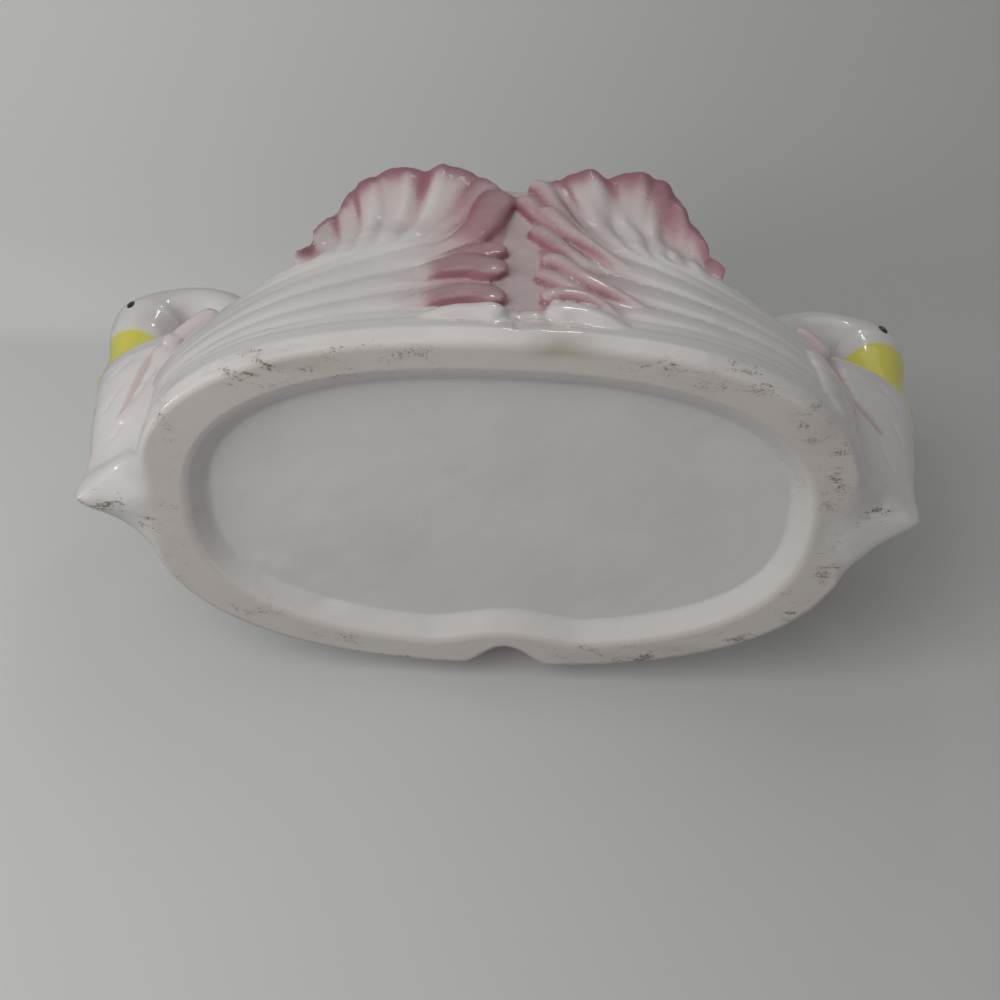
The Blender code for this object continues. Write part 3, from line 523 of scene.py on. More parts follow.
def castFinger(name, sideX, sideY, path, free, root, rise, seat, pink):
    line = smoothPath(path, fingers["steps"])
    step = np.gradient(line, axis=0)
    across = np.stack([-step[:, 1], step[:, 0]], 1) / np.linalg.norm(step, axis=1, keepdims=True)
    travel = travelOf(line)
    share = travel / travel[-1]
    cap = np.sqrt(1.0 - (1.0 - np.minimum(travel / free, 1.0)) ** 2)
    seats = seat * (1.0 - smoothStep(0.5, 1.0, share))
    fade = 1.0 - smoothStep(0.55, 1.0, share)
    height = rise * cap * (1.0 - 0.8 * smoothStep(0.35, 1.0, share))
    width = (free + (root - free) * smoothStep(0.0, 1.0, share)) * cap
    crease = fingers["crease"] if pink > 0.1 else 0.0
    turn = fullTurn(fingers["around"])[None]
    lift, spread = np.sign(np.sin(turn)) * np.abs(np.sin(turn)) ** 0.8, np.cos(turn)
    spot = line[:, None, :] + (width[:, None] * spread)[..., None] * across[:, None, :]
    x, y, z = wallPoint(spot[..., 0], spot[..., 1], seats[:, None] + height[:, None] * lift)
    rings = np.stack([sideX * x, -sideY * y, np.maximum(z, foot["height"] - wing["bite"])], -1)
    tint = (pink + crease * (1.0 - np.clip(lift, 0.0, 1.0))) * fade[:, None]
    points = np.concatenate([rings[0, :1], rings[1:-1].reshape(-1, 3), rings[-1, :1]])
    tints = np.concatenate([tint[0, :1], tint[1:-1].ravel(), tint[-1, :1]])
    addForm(name, points, loftFaces(len(line) - 2, fingers["around"]), spray=tints)


shoulders = {   # feathers that lie against the breasts
    # rolls that stand free of the skin: path, radius, pink
    "rolls": {
        "left": (
            (((-95, -28, 70), (-100, -26.5, 65), (-105, -24, 60), (-108.5, -21.5, 56)), 4.0, 0.2),
        ),
        "right": (
            (((94, -28.5, 72), (98, -27, 68), (102, -25, 64), (105.5, -23, 61)), 4.1, 0.36),
        ),
    },
    # raised leaves and pink creases on the skin: path, half width and rise at both ends, pink
    "marks": {
        "left": (
            (((-109.5, -22, 54), (-108, -22.5, 47), (-109.5, -20, 40), (-113, -17, 34), (-118, -13, 31)),
             6.4, 4.0, 3.4, 0.8, 0.14),
            (((-111, -22, 62), (-115.5, -19.5, 54), (-118, -16, 42), (-120, -12.5, 33)),
             2.4, 1.4, -1.1, -0.5, 0.5),
        ),
        "right": (
            (((95, -37, 36), (96, -36.5, 29), (97, -35.5, 22), (98, -34.5, 14)), 5.6, 5.0, 1.8, 1.0, 0.1),
            (((105, -23.5, 67), (107.5, -22.5, 62), (109, -21, 52), (112, -18, 44), (119, -13.5, 36)),
             3.0, 1.5, -0.9, -0.4, 0.6),
        ),
    },
    "rollSteps": 26, "markSteps": 40,
    "from": 84.0, "under": 75.0,       # the marks lie beyond this |x| and below this height
}


def castRoll(name, sideY, path, radius, pink):
    line = smoothPath(np.array(path, float) * (1.0, -sideY, 1.0), shoulders["rollSteps"])
    travel = travelOf(line)
    ends = np.minimum(np.minimum(travel, travel[-1] - travel) / radius, 1.0)
    size = radius * np.sqrt(1.0 - (1.0 - ends) ** 2)
    turn = fullTurn(fingers["around"])
    axis = line[-1] - line[0]
    level = np.cross(axis, (0.0, 0.0, 1.0))
    level /= np.linalg.norm(level)
    upward = np.cross(axis / np.linalg.norm(axis), level)
    ring = np.cos(turn)[:, None] * level + np.sin(turn)[:, None] * upward
    rings = [spot + radius * ring for spot, radius in zip(line[1:-1], size[1:-1])]
    tube = np.concatenate([line[:1], *rings, line[-1:]])
    addForm(name, tube, loftFaces(len(rings), fingers["around"]), spray=np.full(len(tube), pink))


crownEnds = {       # rolled ends of the crown feathers: place, reach, pink
    "left": (((-65.5, -52.5, 70.5), 8.5, 1.0), ((-58.5, -55.5, 100.5), 7.0, 0.95)),
    "right": (((67.0, -54.0, 69.0), 8.0, 0.8),),
}


# the points with the back of the pot folded onto its front, which it mirrors
def folded(points):
    return np.stack([points[:, 0], -np.abs(points[:, 1]), points[:, 2]], 1)


# how near every skin point is to a crown end, and the colour there
def endShares(points):
    share, tint = np.zeros(len(points)), np.zeros(len(points))
    front = folded(points)
    for place, reach, pink in crownEnds["left"] + crownEnds["right"]:
        gap = np.linalg.norm(front - place, axis=1)
        share = np.maximum(share, 1.0 - smoothStep(0.7 * reach, 1.4 * reach, gap))
        tint = np.maximum(tint, pink * hump(gap, 0.0, 1.2 * reach) ** 0.7)
    return share, tint


# height and colour that the shoulder marks give every skin point
def shoulderMarks(points):
    height, tint = np.zeros(len(points)), np.zeros(len(points))
    steps = shoulders["markSteps"]
    for side, sign in sides:
        onSide = (sign * points[:, 0] > shoulders["from"]) & (points[:, 2] < shoulders["under"])
        near = np.flatnonzero(onSide)
        spots = folded(points[near])
        for path, first, last, rise, lastRise, pink in shoulders["marks"][side]:
            q, high = np.full(len(near), 2.0), np.zeros(len(near))
            for k, spot in enumerate(smoothPath(path, steps)):
                gap = np.linalg.norm(spots - spot, axis=1) / (first + (last - first) * k / (steps - 1.0))
                high = np.where(gap < q, rise + (lastRise - rise) * k / (steps - 1.0), high)
                q = np.minimum(q, gap)
            height[near] += high * np.maximum(1.0 - q ** 2.2, 0.0) ** 0.75
            tint[near] = np.maximum(tint[near], pink * np.maximum(1.0 - q ** 2, 0.0) ** 0.5)
    return height, tint


def castFingers(name, sideX, sideY):
    side = "left" if sideX < 0 else "right"
    for finger in fingers[side]:
        castFinger(name, sideX, sideY, *finger)
    for roll in shoulders["rolls"][side]:
        castRoll(name, sideY, *roll)


petals = {      # white feathers that stand up in the crown: path, half width
    "left": ((((59, 108), (57, 93), (54, 78)), 4.0), (((34, 113), (34, 100), (36, 88)), 3.6),
             (((47, 110), (46, 100), (46, 90)), 2.2)),
    "right": ((((32, 115), (38, 100), (47, 82)), 6.2), (((55, 112), (56, 94), (57, 73)), 5.2),
              (((71, 100), (69, 84), (64, 64)), 4.0)),
    "rise": 1.3,
}


def petalHeight(along, z, sideX):
    best = np.zeros_like(along)
    for path, halfWidth in petals["left" if sideX < 0 else "right"]:
        for spot in smoothPath(path, 24):
            gap = np.hypot(along - spot[0], z - spot[1])
            best = np.maximum(best, hump(gap, 0.0, halfWidth) ** 0.6)
    return best


panel = {       # strip between the wings, behind their edges
    "lap": 9.0, "top": 108.5, "topDip": 2.0, "back": 0.3,
    "spray": 0.62, "insideSpray": 0.15, "columns": 33, "rows": 60,
}


def castPanel(name, sideY):
    base = foot["height"] - foot["sink"]
    share = np.linspace(-1.0, 1.0, panel["columns"])[:, None]
    t = np.linspace(0.0, 1.0, panel["rows"])[None, :]
    z = base + (panel["top"] - base) * t - panel["topDip"] * t ** 6 * (1.0 - np.abs(share))
    x = foot["seamOffset"] + (wing["panelHalf"] + panel["lap"]) * share + np.zeros_like(z)
    skins, spray = [], []
    for back, tint in ((panel["back"], panel["spray"]), (1.8 * wing["wall"], panel["insideSpray"])):
        _, y, _ = wallPoint(np.abs(x), z, -back)
        skins.append(np.stack([x, sideY * -y, z], -1).reshape(-1, 3))
        spray.append(np.full(x.size, tint))
    addForm(name, np.concatenate(skins), shellFaces(panel["columns"], panel["rows"]),
            spray=np.concatenate(spray))


swan = {        # neck, head and bill are one tube along a bowed line
    "neckX": 99.0, "neckBase": 12.6, "neckRadius": 10.2, "archRadius": 17.0, "archHeight": 104.0,
    "neckSunk": -9.0,               # the line starts this far under the breast's roof
    "bow": math.radians(10.0), "headStart": math.radians(48.0),
    "headDepth": 13.3, "headWidth": 11.4,
    "billLine": 96.0, "billDepth": 12.0, "billWidth": 9.8, "billTip": 67.5, "billTipRadius": 1.3,
    "billRidge": 1.3,               # soft ridge down the top of the bill
    "billTuck": 4.4,                # the bill lies back from the forehead
    "eyeHeight": {-1: 106.8, 1: 109.0}, "eyeTurn": math.radians(66.0), "eyeRadius": 1.6, "eyeRise": 0.8,
    "eyeTall": 1.15, "eyeWide": 0.9, "eyeAround": 28, "eyeAboveBill": 4.0,
    # share of the eye's radius and of its rise, from its rim to near its top
    "eyeRings": ((1.0, -0.6), (1.02, 0.1), (0.97, 0.35), (0.85, 0.62), (0.62, 0.86), (0.32, 0.97)),
    "roof": 80.0, "around": 64, "steps": 150,
}


# centre line in the XZ plane and the outward direction
def spine(travel):
    radius, top = swan["archRadius"], swan["archHeight"]
    rise = top - swan["roof"]
    arc = radius * (math.pi - swan["bow"])
    centre = swan["neckX"] + radius
    if travel < rise:
        return (swan["neckX"], swan["roof"] + travel), (-1.0, 0.0)
    if travel < rise + arc:
        angle = math.pi - (travel - rise) / radius
        c, s = math.cos(angle), math.sin(angle)
        return (centre + radius * c, top + radius * s), (c, s)
    c, s = math.cos(swan["bow"]), math.sin(swan["bow"])
    rest = travel - rise - arc
    return (centre + radius * c + rest * s, top + radius * s - rest * c), (c, s)


# travel at which the head starts, the arch ends, the bill starts and the bill ends
def spineMarks():
    rise = swan["archHeight"] - swan["roof"]
    head = rise + swan["archRadius"] * (math.pi - swan["headStart"])
    full = rise + swan["archRadius"] * (math.pi - swan["bow"])
    (_, z), _ = spine(full)
    bill, tip = (full + (z - swan[key]) / math.cos(swan["bow"]) for key in ("billLine", "billTip"))
    return head, full, bill, tip


# depth and width of the tube, and how far it is shifted back
def spineSection(travel):
    head, full, bill, tip = spineMarks()
    base, neck, r = swan["neckBase"], swan["neckRadius"], swan["billTipRadius"]
    places, depths, widths = zip(
        (swan["neckSunk"], base - 3.0, base - 3.0),
        (-4.0, base, base),
        (0.0, base, base),
        (12.0, neck, neck),
        (head - 4.0, neck, neck),
        (head, neck * 1.06, neck * 1.04),
        (full - 3.0, swan["headDepth"], swan["headWidth"]),
        (bill, swan["billDepth"], swan["billWidth"]),
        (0.5 * (bill + tip), 0.52 * swan["billDepth"], 0.56 * swan["billWidth"]),
        (tip - r, 1.6 * r, 1.4 * r),
        (tip, 0.8 * r, 0.8 * r),
    )
    # a blur over a few millimetres rounds the joints of the profile, but not its tip
    blur = 2.5 if travel <= tip - 4.0 else 0.0
    spots = travel + blur * np.array([-1.0, -0.5, 0.0, 0.5, 1.0])
    weights = np.array([1.0, 2.0, 3.0, 2.0, 1.0]) / 9.0
    depth, width = (float(np.dot(weights, np.interp(spots, places, row))) for row in (depths, widths))
    shift = swan["billTuck"] * float(hump(travel, bill + 0.42 * (tip - bill), 0.85 * (tip - bill)))
    return depth, width, shift


def spinePoint(side, travel, angle, off=0.0):
    (x, z), (nx, nz) = spine(travel)
    depth, width, shift = spineSection(travel)
    _, _, bill, tip = spineMarks()
    ridge = swan["billRidge"] * hump(travel, 0.5 * (bill + tip), 0.75 * (tip - bill)) * hump(angle, 0.0, 0.7)
    reach = (depth + off) * np.cos(angle) - shift + ridge
    return np.stack([side * (x + reach * nx), (width + off) * np.sin(angle), z + reach * nz], -1)


def castNeck(name, side):
    start, tip = swan["neckSunk"], spineMarks()[-1]
    angle = np.linspace(-math.pi, math.pi, swan["around"], endpoint=False)
    travels = np.linspace(start, tip, swan["steps"])
    rings = [spinePoint(side, t, angle) for t in travels]
    (x0, z0), _ = spine(start)
    (x1, z1), _ = spine(tip)
    points = np.concatenate([[(side * x0, 0.0, z0)], *rings, [(side * x1, 0.0, z1 - 0.4)]])
    travel = np.concatenate([[start], np.repeat(travels, swan["around"]), [tip]])
    addForm(name, points, loftFaces(len(rings), swan["around"]), travel=travel)


breast = {      # hood under each neck, open toward the bowl
    "mouthX": 86.0, "dome": 18.0, "columns": 110, "rows": 70,
    "swell": -1.7,          # how far the breast comes out past the tip of the bill
    "roof": 76.5,
}


# height, reach from the middle, half width, fineness and fullness of the breast at a share of its rows
def breastLevel(t):
    (tipX, _), _ = spine(spineMarks()[-1])
    fullest = tipX + breast["swell"]
    keel, base, top = foot["keelReach"], foot["height"], breast["roof"]
    front = swan["neckX"] + swan["neckBase"]
    marks, levels, reaches, widths, fineness, fullness = zip(
        (0.0, 0.0, keel + 0.9, foot["keelWidth"] * 1.15, 1.1, 1.5),
        (0.18, 0.2, keel + 0.2 * (fullest - keel), 20.5, 1.4, 1.0),
        (0.42, 0.46, fullest - 4.6, 23.5, 1.9, 0.65),
        (0.58, 0.6, fullest - 2.4, 24.0, 2.0, 0.6),
        (0.72, 0.74, fullest - 0.6, 24.0, 2.0, 0.6),
        (0.82, 0.85, fullest, 23.5, 2.0, 0.6),
        (0.9, 0.93, front + 0.93 * (fullest - front), 22.0, 2.0, 0.6),
        (0.96, 0.985, front + 0.78 * (fullest - front), 20.0, 2.0, 0.6),
        (1.0, 1.0, front + 0.55 * (fullest - front), 17.5, 2.0, 0.6),
    )
    heights = [base + (top - base) * level for level in levels]
    return [float(np.interp(t, marks, row)) for row in (heights, reaches, widths, fineness, fullness)]


# plan of the breast at one height, inset for its inner skin
def breastOutline(z, reach, halfWidth, fineness, fullness, inset):
    top = wing["ridgeTop"] + wing["ridgeBulge"]
    level = min(z, top)
    climb = min((z - level) / (breast["roof"] - top), 1.0)
    gap = 0.45 * wing["wall"] + inset
    a = float(sideHalfLength(level)) - gap
    b = float(sideHalfWidth(level)) - gap - breast["dome"] * climb ** 2
    back = math.asin((breast["mouthX"] / a) ** (0.5 * wing["roundness"]))
    swell = max(reach - inset - a, 0.0)
    free = float(smoothStep(0.0, 1.0, (z - wing["shoulderTop"]) / (swan["roof"] - wing["shoulderTop"])))
    room = shoulderHalfWidth(min(z, wing["shoulderTop"])) + free * swan["neckRadius"]
    halfWidth = min(halfWidth, room) - 1.1 * inset
    t = np.linspace(-1.0, 1.0, breast["columns"])
    angle = 0.5 * math.pi + (0.5 * math.pi - back) * np.sign(t) * np.abs(t) ** 1.25
    x, y = ovalPoint(a, b, wing["roundness"], angle)
    x[0] = x[-1] = breast["mouthX"]
    q = np.minimum(np.abs(y) / halfWidth, 1.0)
    return x + swell * (1.0 - q ** fineness) ** fullness, y


def castBreast(name, side):
    rows, columns = breast["rows"], breast["columns"]
    base, top = foot["height"] - 3.5, breast["roof"]
    outer, inner = [], []
    for r in range(rows):
        t = r / (rows - 1)
        z, reach, halfWidth, fine, full = breastLevel(t)
        low = base + (z - foot["height"]) * (top - wing["wall"] - base) / (top - foot["height"])
        for z0, inset, skin in ((max(z, base) if r else base, 0.0, outer), (low, wing["wall"], inner)):
            x, y = breastOutline(max(z0, foot["height"]), reach, halfWidth, fine, full, inset)
            skin.append(np.stack([side * x, y, np.full_like(x, z0)], 1))
    points = np.concatenate(outer + inner)
    half = rows * columns
    faces = []
    for r in range(rows - 1):
        for c in range(columns - 1):
            a = r * columns + c
            faces.append((a, a + 1, a + columns + 1, a + columns))
            faces.append((half + a + columns, half + a + columns + 1, half + a + 1, half + a))
        for c in (0, columns - 1):
            a = r * columns + c
            faces.append((a, a + columns, half + a + columns, half + a))
    for c in range(columns - 1):
        faces.append((c, c + 1, half + c + 1, half + c))
    roof = [(rows - 1) * columns + c for c in range(columns)]
    faces.append(tuple(roof))
    faces.append(tuple(half + i for i in reversed(roof)))
    faces.append((roof[0], roof[-1], half + roof[-1], half + roof[0]))
    addForm(name, points, faces)


chest = {           # short feather strokes scratched into the breast: (y, z) of both ends
    "strokes": (((8, 24), (12, 31)), ((14, 29), (18, 36)), ((9, 38), (14, 45)), ((17, 43), (20, 50)),
                ((4, 47), (8, 54)), ((13, 53), (17, 59))),
    "depth": 0.4, "halfWidth": 1.0,
}


# depth of the strokes at every skin point
def chestStrokes(points, owner):
    depth = np.zeros(len(points))
    onBreast = np.array([f.piece.endswith("_breast") for f in forms])[owner] & (np.abs(points[:, 0]) > 100.0)
    spot = np.stack([np.abs(points[:, 1]), points[:, 2]], 1)
    for start, end in chest["strokes"]:
        start, end = np.array(start, float), np.array(end, float)
        t = np.clip((spot - start) @ (end - start) / ((end - start) @ (end - start)), 0.0, 1.0)
        bow = start + t[:, None] * (end - start) + (1.5 * t * (1.0 - t))[:, None] * np.array([1.0, -0.6])
        gap = np.linalg.norm(spot - bow, axis=1)
        depth = np.maximum(depth, chest["depth"] * (1.0 - 0.6 * t) * hump(gap, 0.0, chest["halfWidth"]))
    return depth * onBreast


bow = {         # the keels are blunt, with a ridge under them
    "frontLift": 6.0, "backLift": 2.5,      # how far their edges lift off the ridge
    "leftNose": 0.5, "rightNose": 4.5,      # how far the noses go back
    "depth": 13.0, "ridge": (0.5, 9.0), "liftFrom": (103.0, 115.0), "noseFrom": (110.0, 126.0),
}


def bowShaped(points):
    x, y, z = points.T
    low = np.clip(1.0 - z / bow["depth"], 0.0, 1.0)
    lift = np.where(y < 0.0, bow["frontLift"], bow["backLift"]) * smoothStep(*bow["ridge"], np.abs(y))
    lift = lift * low * smoothStep(*bow["liftFrom"], np.abs(x))
    nose = np.where(x < 0.0, bow["leftNose"], bow["rightNose"]) * low ** 1.5
    nose = nose * smoothStep(*bow["noseFrom"], np.abs(x))
    return np.stack([x - np.sign(x) * nose, y, z + lift], 1)


# runs, dents and lumps in the glaze of the foot: x, y, reach along x, reach along y, height
footMarks = (
    (-67.0, 27.0, 5.0, 4.0, 0.5), (-74.0, 24.0, 3.0, 2.5, 0.35), (-55.0, 39.0, 5.0, 1.8, -0.6),
    (-47.0, 42.0, 6.0, 2.0, 0.4), (-14.0, 45.0, 8.0, 1.8, 0.45), (-30.0, 44.0, 6.0, 1.6, 0.25),
    (9.0, 50.0, 5.0, 2.0, 0.4), (20.0, 47.0, 5.0, 1.6, 0.25), (16.0, -58.0, 4.0, 3.0, -0.4),
    (-99.0, 14.0, 4.0, 5.0, 0.3), (104.0, 20.0, 5.0, 4.0, 0.4), (98.0, -30.0, 4.0, 6.0, 0.3),
)
sill = {        # the lump where the halves of the mould met, under the front strip
    "seam": 3.6, "seamDepth": 0.55, "seamHalfWidth": 0.7, "seamBend": 0.8,
    "bottom": (5.0, 8.0), "top": (22.0, 25.0), "halfLength": 40.0,
    "lumps": ((-4.0, 17.0, 3.6, 0.7), (8.0, 16.0, 3.2, 0.9), (4.0, 9.0, 4.5, -0.5), (14.0, 11.0, 4.0, -0.5)),
}


# height that the foot marks and the sill give every skin point
def markHeights(points, normals):
    height = np.zeros(len(points))
    low = 1.0 - smoothStep(*sill["bottom"], points[:, 2])
    for x, y, reachX, reachY, rise in footMarks:
        q = ((points[:, 0] - x) / reachX) ** 2 + ((points[:, 1] - y) / reachY) ** 2
        height += rise * np.exp(-q) * low * smoothStep(-0.9, -0.2, -normals[:, 2])
    front = (points[:, 1] < -50.0) & (np.abs(points[:, 0]) < sill["halfLength"])
    bend = sill["seamBend"] * np.sin(0.5 * points[:, 2])
    lowSill = smoothStep(*sill["bottom"], points[:, 2]) * (1.0 - smoothStep(*sill["top"], points[:, 2]))
    groove = sill["seamDepth"] * hump(points[:, 0] - bend, sill["seam"], sill["seamHalfWidth"]) * lowSill
    for x, z, reach, rise in sill["lumps"]:
        height += front * rise * np.exp(-((points[:, 0] - x) ** 2 + (points[:, 2] - z) ** 2) / reach ** 2)
    return height - front * groove


# closed forms that overlap, in one mesh, each turned to face outward
def joinForms():
    joined = bmesh.new()
    for form in forms:
        one = bmesh.new()
        corners = [one.verts.new(p * mm) for p in form.points]
        for face in form.faces:
            one.faces.new([corners[i] for i in face])
        bmesh.ops.recalc_face_normals(one, faces=one.faces[:])
        if one.calc_volume(signed=True) < 0.0:
            bmesh.ops.reverse_faces(one, faces=one.faces[:])
        part = bpy.data.meshes.new("form")
        one.to_mesh(part)
        one.free()
        joined.from_mesh(part)
        bpy.data.meshes.remove(part)
    mesh = bpy.data.meshes.new("castForms")
    joined.to_mesh(mesh)
    joined.free()
    return mesh


# one skin over all the forms
def castSkin(voxel):
    source = bpy.data.objects.new("castForms", joinForms())
    bpy.context.scene.collection.objects.link(source)
    remesh = source.modifiers.new("cast", "REMESH")
    remesh.mode = "VOXEL"
    remesh.voxel_size = voxel * mm
    remesh.adaptivity = 0.0
    evaluated = source.evaluated_get(bpy.context.evaluated_depsgraph_get())
    mesh = bpy.data.meshes.new_from_object(evaluated)
    bpy.data.objects.remove(source, do_unlink=True)
    points = np.empty(len(mesh.vertices) * 3, np.float32)
    mesh.vertices.foreach_get("co", points)
    faces = np.empty(len(mesh.polygons) * 4, np.int32)
    mesh.loops.foreach_get("vertex_index", faces)
    bpy.data.meshes.remove(mesh)
    return points.reshape(-1, 3).astype(float) / mm, faces.reshape(-1, 4)


# smoothing: two opposite steps take the voxel steps out and keep the size, one step alone melts
def relaxed(points, faces, rounds, steps, share=1.0):
    a = faces.ravel()
    b = np.roll(faces, -1, axis=1).ravel()
    count = len(points)
    degree = np.bincount(a, minlength=count) + np.bincount(b, minlength=count)
    for _ in range(rounds):
        for step in steps:
            mean = np.empty_like(points)
            for axis in range(3):
                column = points[:, axis]
                mean[:, axis] = (np.bincount(a, column[b], count) + np.bincount(b, column[a], count)) / degree
            points = points + step * share * (mean - points)
    return points


# where the keels melt, less so at their tips
def keelShare(points):
    x, z, s = np.abs(points[:, 0]), points[:, 2], skinFinish
    tip = s["tipShare"] * smoothStep(*s["tipFrom"], x) * (1.0 - smoothStep(*s["tipTop"], z))
    return (smoothStep(*s["keelFrom"], x) * (1.0 - smoothStep(*s["keelTop"], z)) * (1.0 - tip))[:, None]


def crownShare(points):
    high = smoothStep(*skinFinish["crownFrom"], points[:, 2])
    return (high * smoothStep(*skinFinish["crownSide"], np.abs(points[:, 1])))[:, None]


def skinNormals(points, faces):
    p = points[faces]
    cross = np.cross(p[:, 2] - p[:, 0], p[:, 3] - p[:, 1])
    normals = np.zeros_like(points)
    for k in range(4):
        for axis in range(3):
            normals[:, axis] += np.bincount(faces[:, k], cross[:, axis], len(points))
    return normals / np.maximum(np.linalg.norm(normals, axis=1, keepdims=True), 1e-12)


# smooth noise with features of one length, shifted to its own place by the seed
def noiseAt(points, length, seed):
    shift = Vector((seed * 17.3, seed * 5.1, seed * 9.7))
    return np.array([noise.noise(Vector(p) / length + shift) for p in points])


# form that owns every skin point, and the paint of the four nearest form points
def carriedPaint(points):
    total = sum(len(f.points) for f in forms)
    tree = kdtree.KDTree(total)
    owner = np.empty(total, np.int32)
    columns = {key: np.zeros(total) for key in ("spray", "valley", "travel")}
    start = 0
    for k, form in enumerate(forms):
        stop = start + len(form.points)
        owner[start:stop] = k
        for key, values in form.paint.items():
            columns[key][start:stop] = values
        for i, p in enumerate(form.points):
            tree.insert(p, start + i)
        start = stop
    tree.balance()
    near = np.empty((len(points), 4), np.int64)
    weight = np.empty((len(points), 4))
    for i, p in enumerate(points):
        found = tree.find_n(p, 4)
        near[i] = [f[1] for f in found]
        weight[i] = [1.0 / (f[2] + 0.15) for f in found]
    weight /= weight.sum(1, keepdims=True)
    carried = {key: (column[near] * weight).sum(1) for key, column in columns.items()}
    return owner[near[:, 0]], carried


print("scene: casting the forms")
castBasin()
for swanLabel, sideX in sides:
    castBreast(swanLabel + "_breast", sideX)
    for facing, sideY in facings:
        castWing(facing + "_" + swanLabel + "_wing", sideX, sideY)
    for facing, sideY in facings:
        castFingers(facing + "_" + swanLabel + "_wing", sideX, sideY)
    castNeck(swanLabel + "_neck", sideX)
for facing, sideY in facings:
    castPanel(facing + "_panel", sideY)

voxel = skinFinish["voxel"]
points, faces = castSkin(voxel)
print("scene: skin has", len(points), "points")
points = relaxed(points, faces, skinFinish["smoothRounds"], skinFinish["smoothing"])
points = bowShaped(points)
points = relaxed(points, faces, skinFinish["keelRounds"], skinFinish["melt"], keelShare(points))
ends, endBlush = endShares(points)
points = relaxed(points, faces, skinFinish["endRounds"], skinFinish["melt"], ends[:, None])
points = relaxed(points, faces, skinFinish["crownRounds"], skinFinish["melt"], crownShare(points))
owner, carried = carriedPaint(points)
normals = skinNormals(points, faces)

# slow unevenness and small glaze ripples, none on the flat that the pot stands on
standing = smoothStep(0.3, 2.0, points[:, 2])
away = standing * (skinFinish["wobble"] * noiseAt(points, skinFinish["wobbleLength"], 1.0)
                   + skinFinish["ripple"] * noiseAt(points, skinFinish["rippleLength"], 2.0))
away += markHeights(points, normals) - chestStrokes(points, owner)
raised, blush = shoulderMarks(points)
away += raised
carried["spray"] = np.maximum.reduce([carried["spray"], blush, endBlush])
points = points + normals * away[:, None]
lowest, highest = (np.array(corner) / mm for corner in cadBox)
points = np.clip(points, lowest, highest)
normals = skinNormals(points, faces)
print("scene: skin finished")


# glazes
# where kiln dirt stuck to the foot: x, y, reach along x, reach along y, strength
speckPatches = (
    (-60.0, -50.0, 22.0, 4.5, 1.0), (-70.0, -46.0, 12.0, 4.0, 1.0), (-30.0, -55.0, 20.0, 3.0, 0.75),
    (-96.0, -26.0, 3.5, 12.0, 1.0), (-118.0, 1.0, 13.0, 4.0, 1.0), (-104.0, 4.0, 12.0, 6.0, 0.8),
    (-98.0, 20.0, 4.0, 12.0, 0.7), (-78.0, 39.5, 12.0, 5.0, 0.8), (-53.0, 51.0, 16.0, 3.5, 0.8),
    (-24.0, 57.0, 24.0, 2.5, 0.8), (42.0, -54.0, 14.0, 3.0, 0.9), (66.0, -51.0, 16.0, 5.0, 1.0),
    (89.0, -38.0, 8.0, 9.0, 1.0), (96.0, -20.0, 5.0, 14.0, 1.0), (87.0, -12.0, 3.0, 8.0, 0.6),
    (114.0, -5.0, 14.0, 4.0, 1.0), (100.0, 12.0, 5.0, 12.0, 0.9), (92.0, 30.0, 6.0, 9.0, 0.9),
    (76.0, 44.0, 12.0, 5.0, 0.9), (44.0, 53.0, 26.0, 4.5, 1.0),
)
# iron in the clay that shows through: x, y, reach along x, reach along y, strength
stainPatches = (
    (16.0, -58.5, 8.5, 2.8, 0.95), (9.0, -59.0, 4.0, 2.0, 0.6), (-56.0, -51.0, 14.0, 3.0, 0.35),
    (60.0, 50.0, 16.0, 3.0, 0.35), (44.0, 54.0, 20.0, 3.0, 0.35), (92.0, -36.0, 8.0, 6.0, 0.3),
    (-15.0, -13.5, 3.2, 1.0, 0.2), (57.0, -31.0, 2.5, 0.9, 0.3), (30.0, 55.0, 10.0, 2.5, 0.3),
)


def patchMask(points, patches, top):
    mask = np.zeros(len(points))
    for x, y, reachX, reachY, strength in patches:
        q = ((points[:, 0] - x) / reachX) ** 2 + ((points[:, 1] - y) / reachY) ** 2
        mask = np.maximum(mask, strength * np.exp(-q))
    return mask * (1.0 - smoothStep(0.4 * top, top, points[:, 2]))


billPaint = {
    "leftDip": -3.0, "rightDip": 4.0,       # the right bill was dipped deeper
    "waves": ((0.9, 0.42, 0.6), (0.5, 0.9, 0.0)),       # height, pace and start of its uneven edge
    "elsewhere": -20.0,
}


# travel past the bill line, in millimetres: the shader cuts the yellow off at zero
def billMask(points, owner, carried):
    _, _, bill, _ = spineMarks()
    onNeck = np.array([f.piece.endswith("_neck") for f in forms])[owner]
    wave = sum(height * np.sin(points[:, 1] * pace + start) for height, pace, start in billPaint["waves"])
    dipped = np.where(points[:, 0] > 0.0, billPaint["rightDip"], billPaint["leftDip"])
    return np.where(onNeck, carried["travel"] - bill + wave + dipped, billPaint["elsewhere"])


# inputs of a node, by name or place: each gets a fixed value or a link
def feed(tree, made, values):
    for key, value in values:
        if isinstance(value, bpy.types.NodeSocket):
            tree.links.new(value, made.inputs[key])
        else:
            made.inputs[key].default_value = value


def node(tree, kind, values=(), **settings):
    made = tree.nodes.new(kind)
    for key, value in settings.items():
        setattr(made, key, value)
    feed(tree, made, values)
    return made


def arithmetic(operation):
    def combine(tree, a, b, clamp=False):
        made = node(tree, "ShaderNodeMath", ((0, a), (1, b)), operation=operation, use_clamp=clamp)
        return made.outputs[0]
    return combine


plus, minus, times, most = (arithmetic(kind) for kind in ("ADD", "SUBTRACT", "MULTIPLY", "MAXIMUM"))


def mixColour(tree, factor, a, b):
    return node(tree, "ShaderNodeMix", ((0, factor), (6, a), (7, b)), data_type="RGBA").outputs[2]


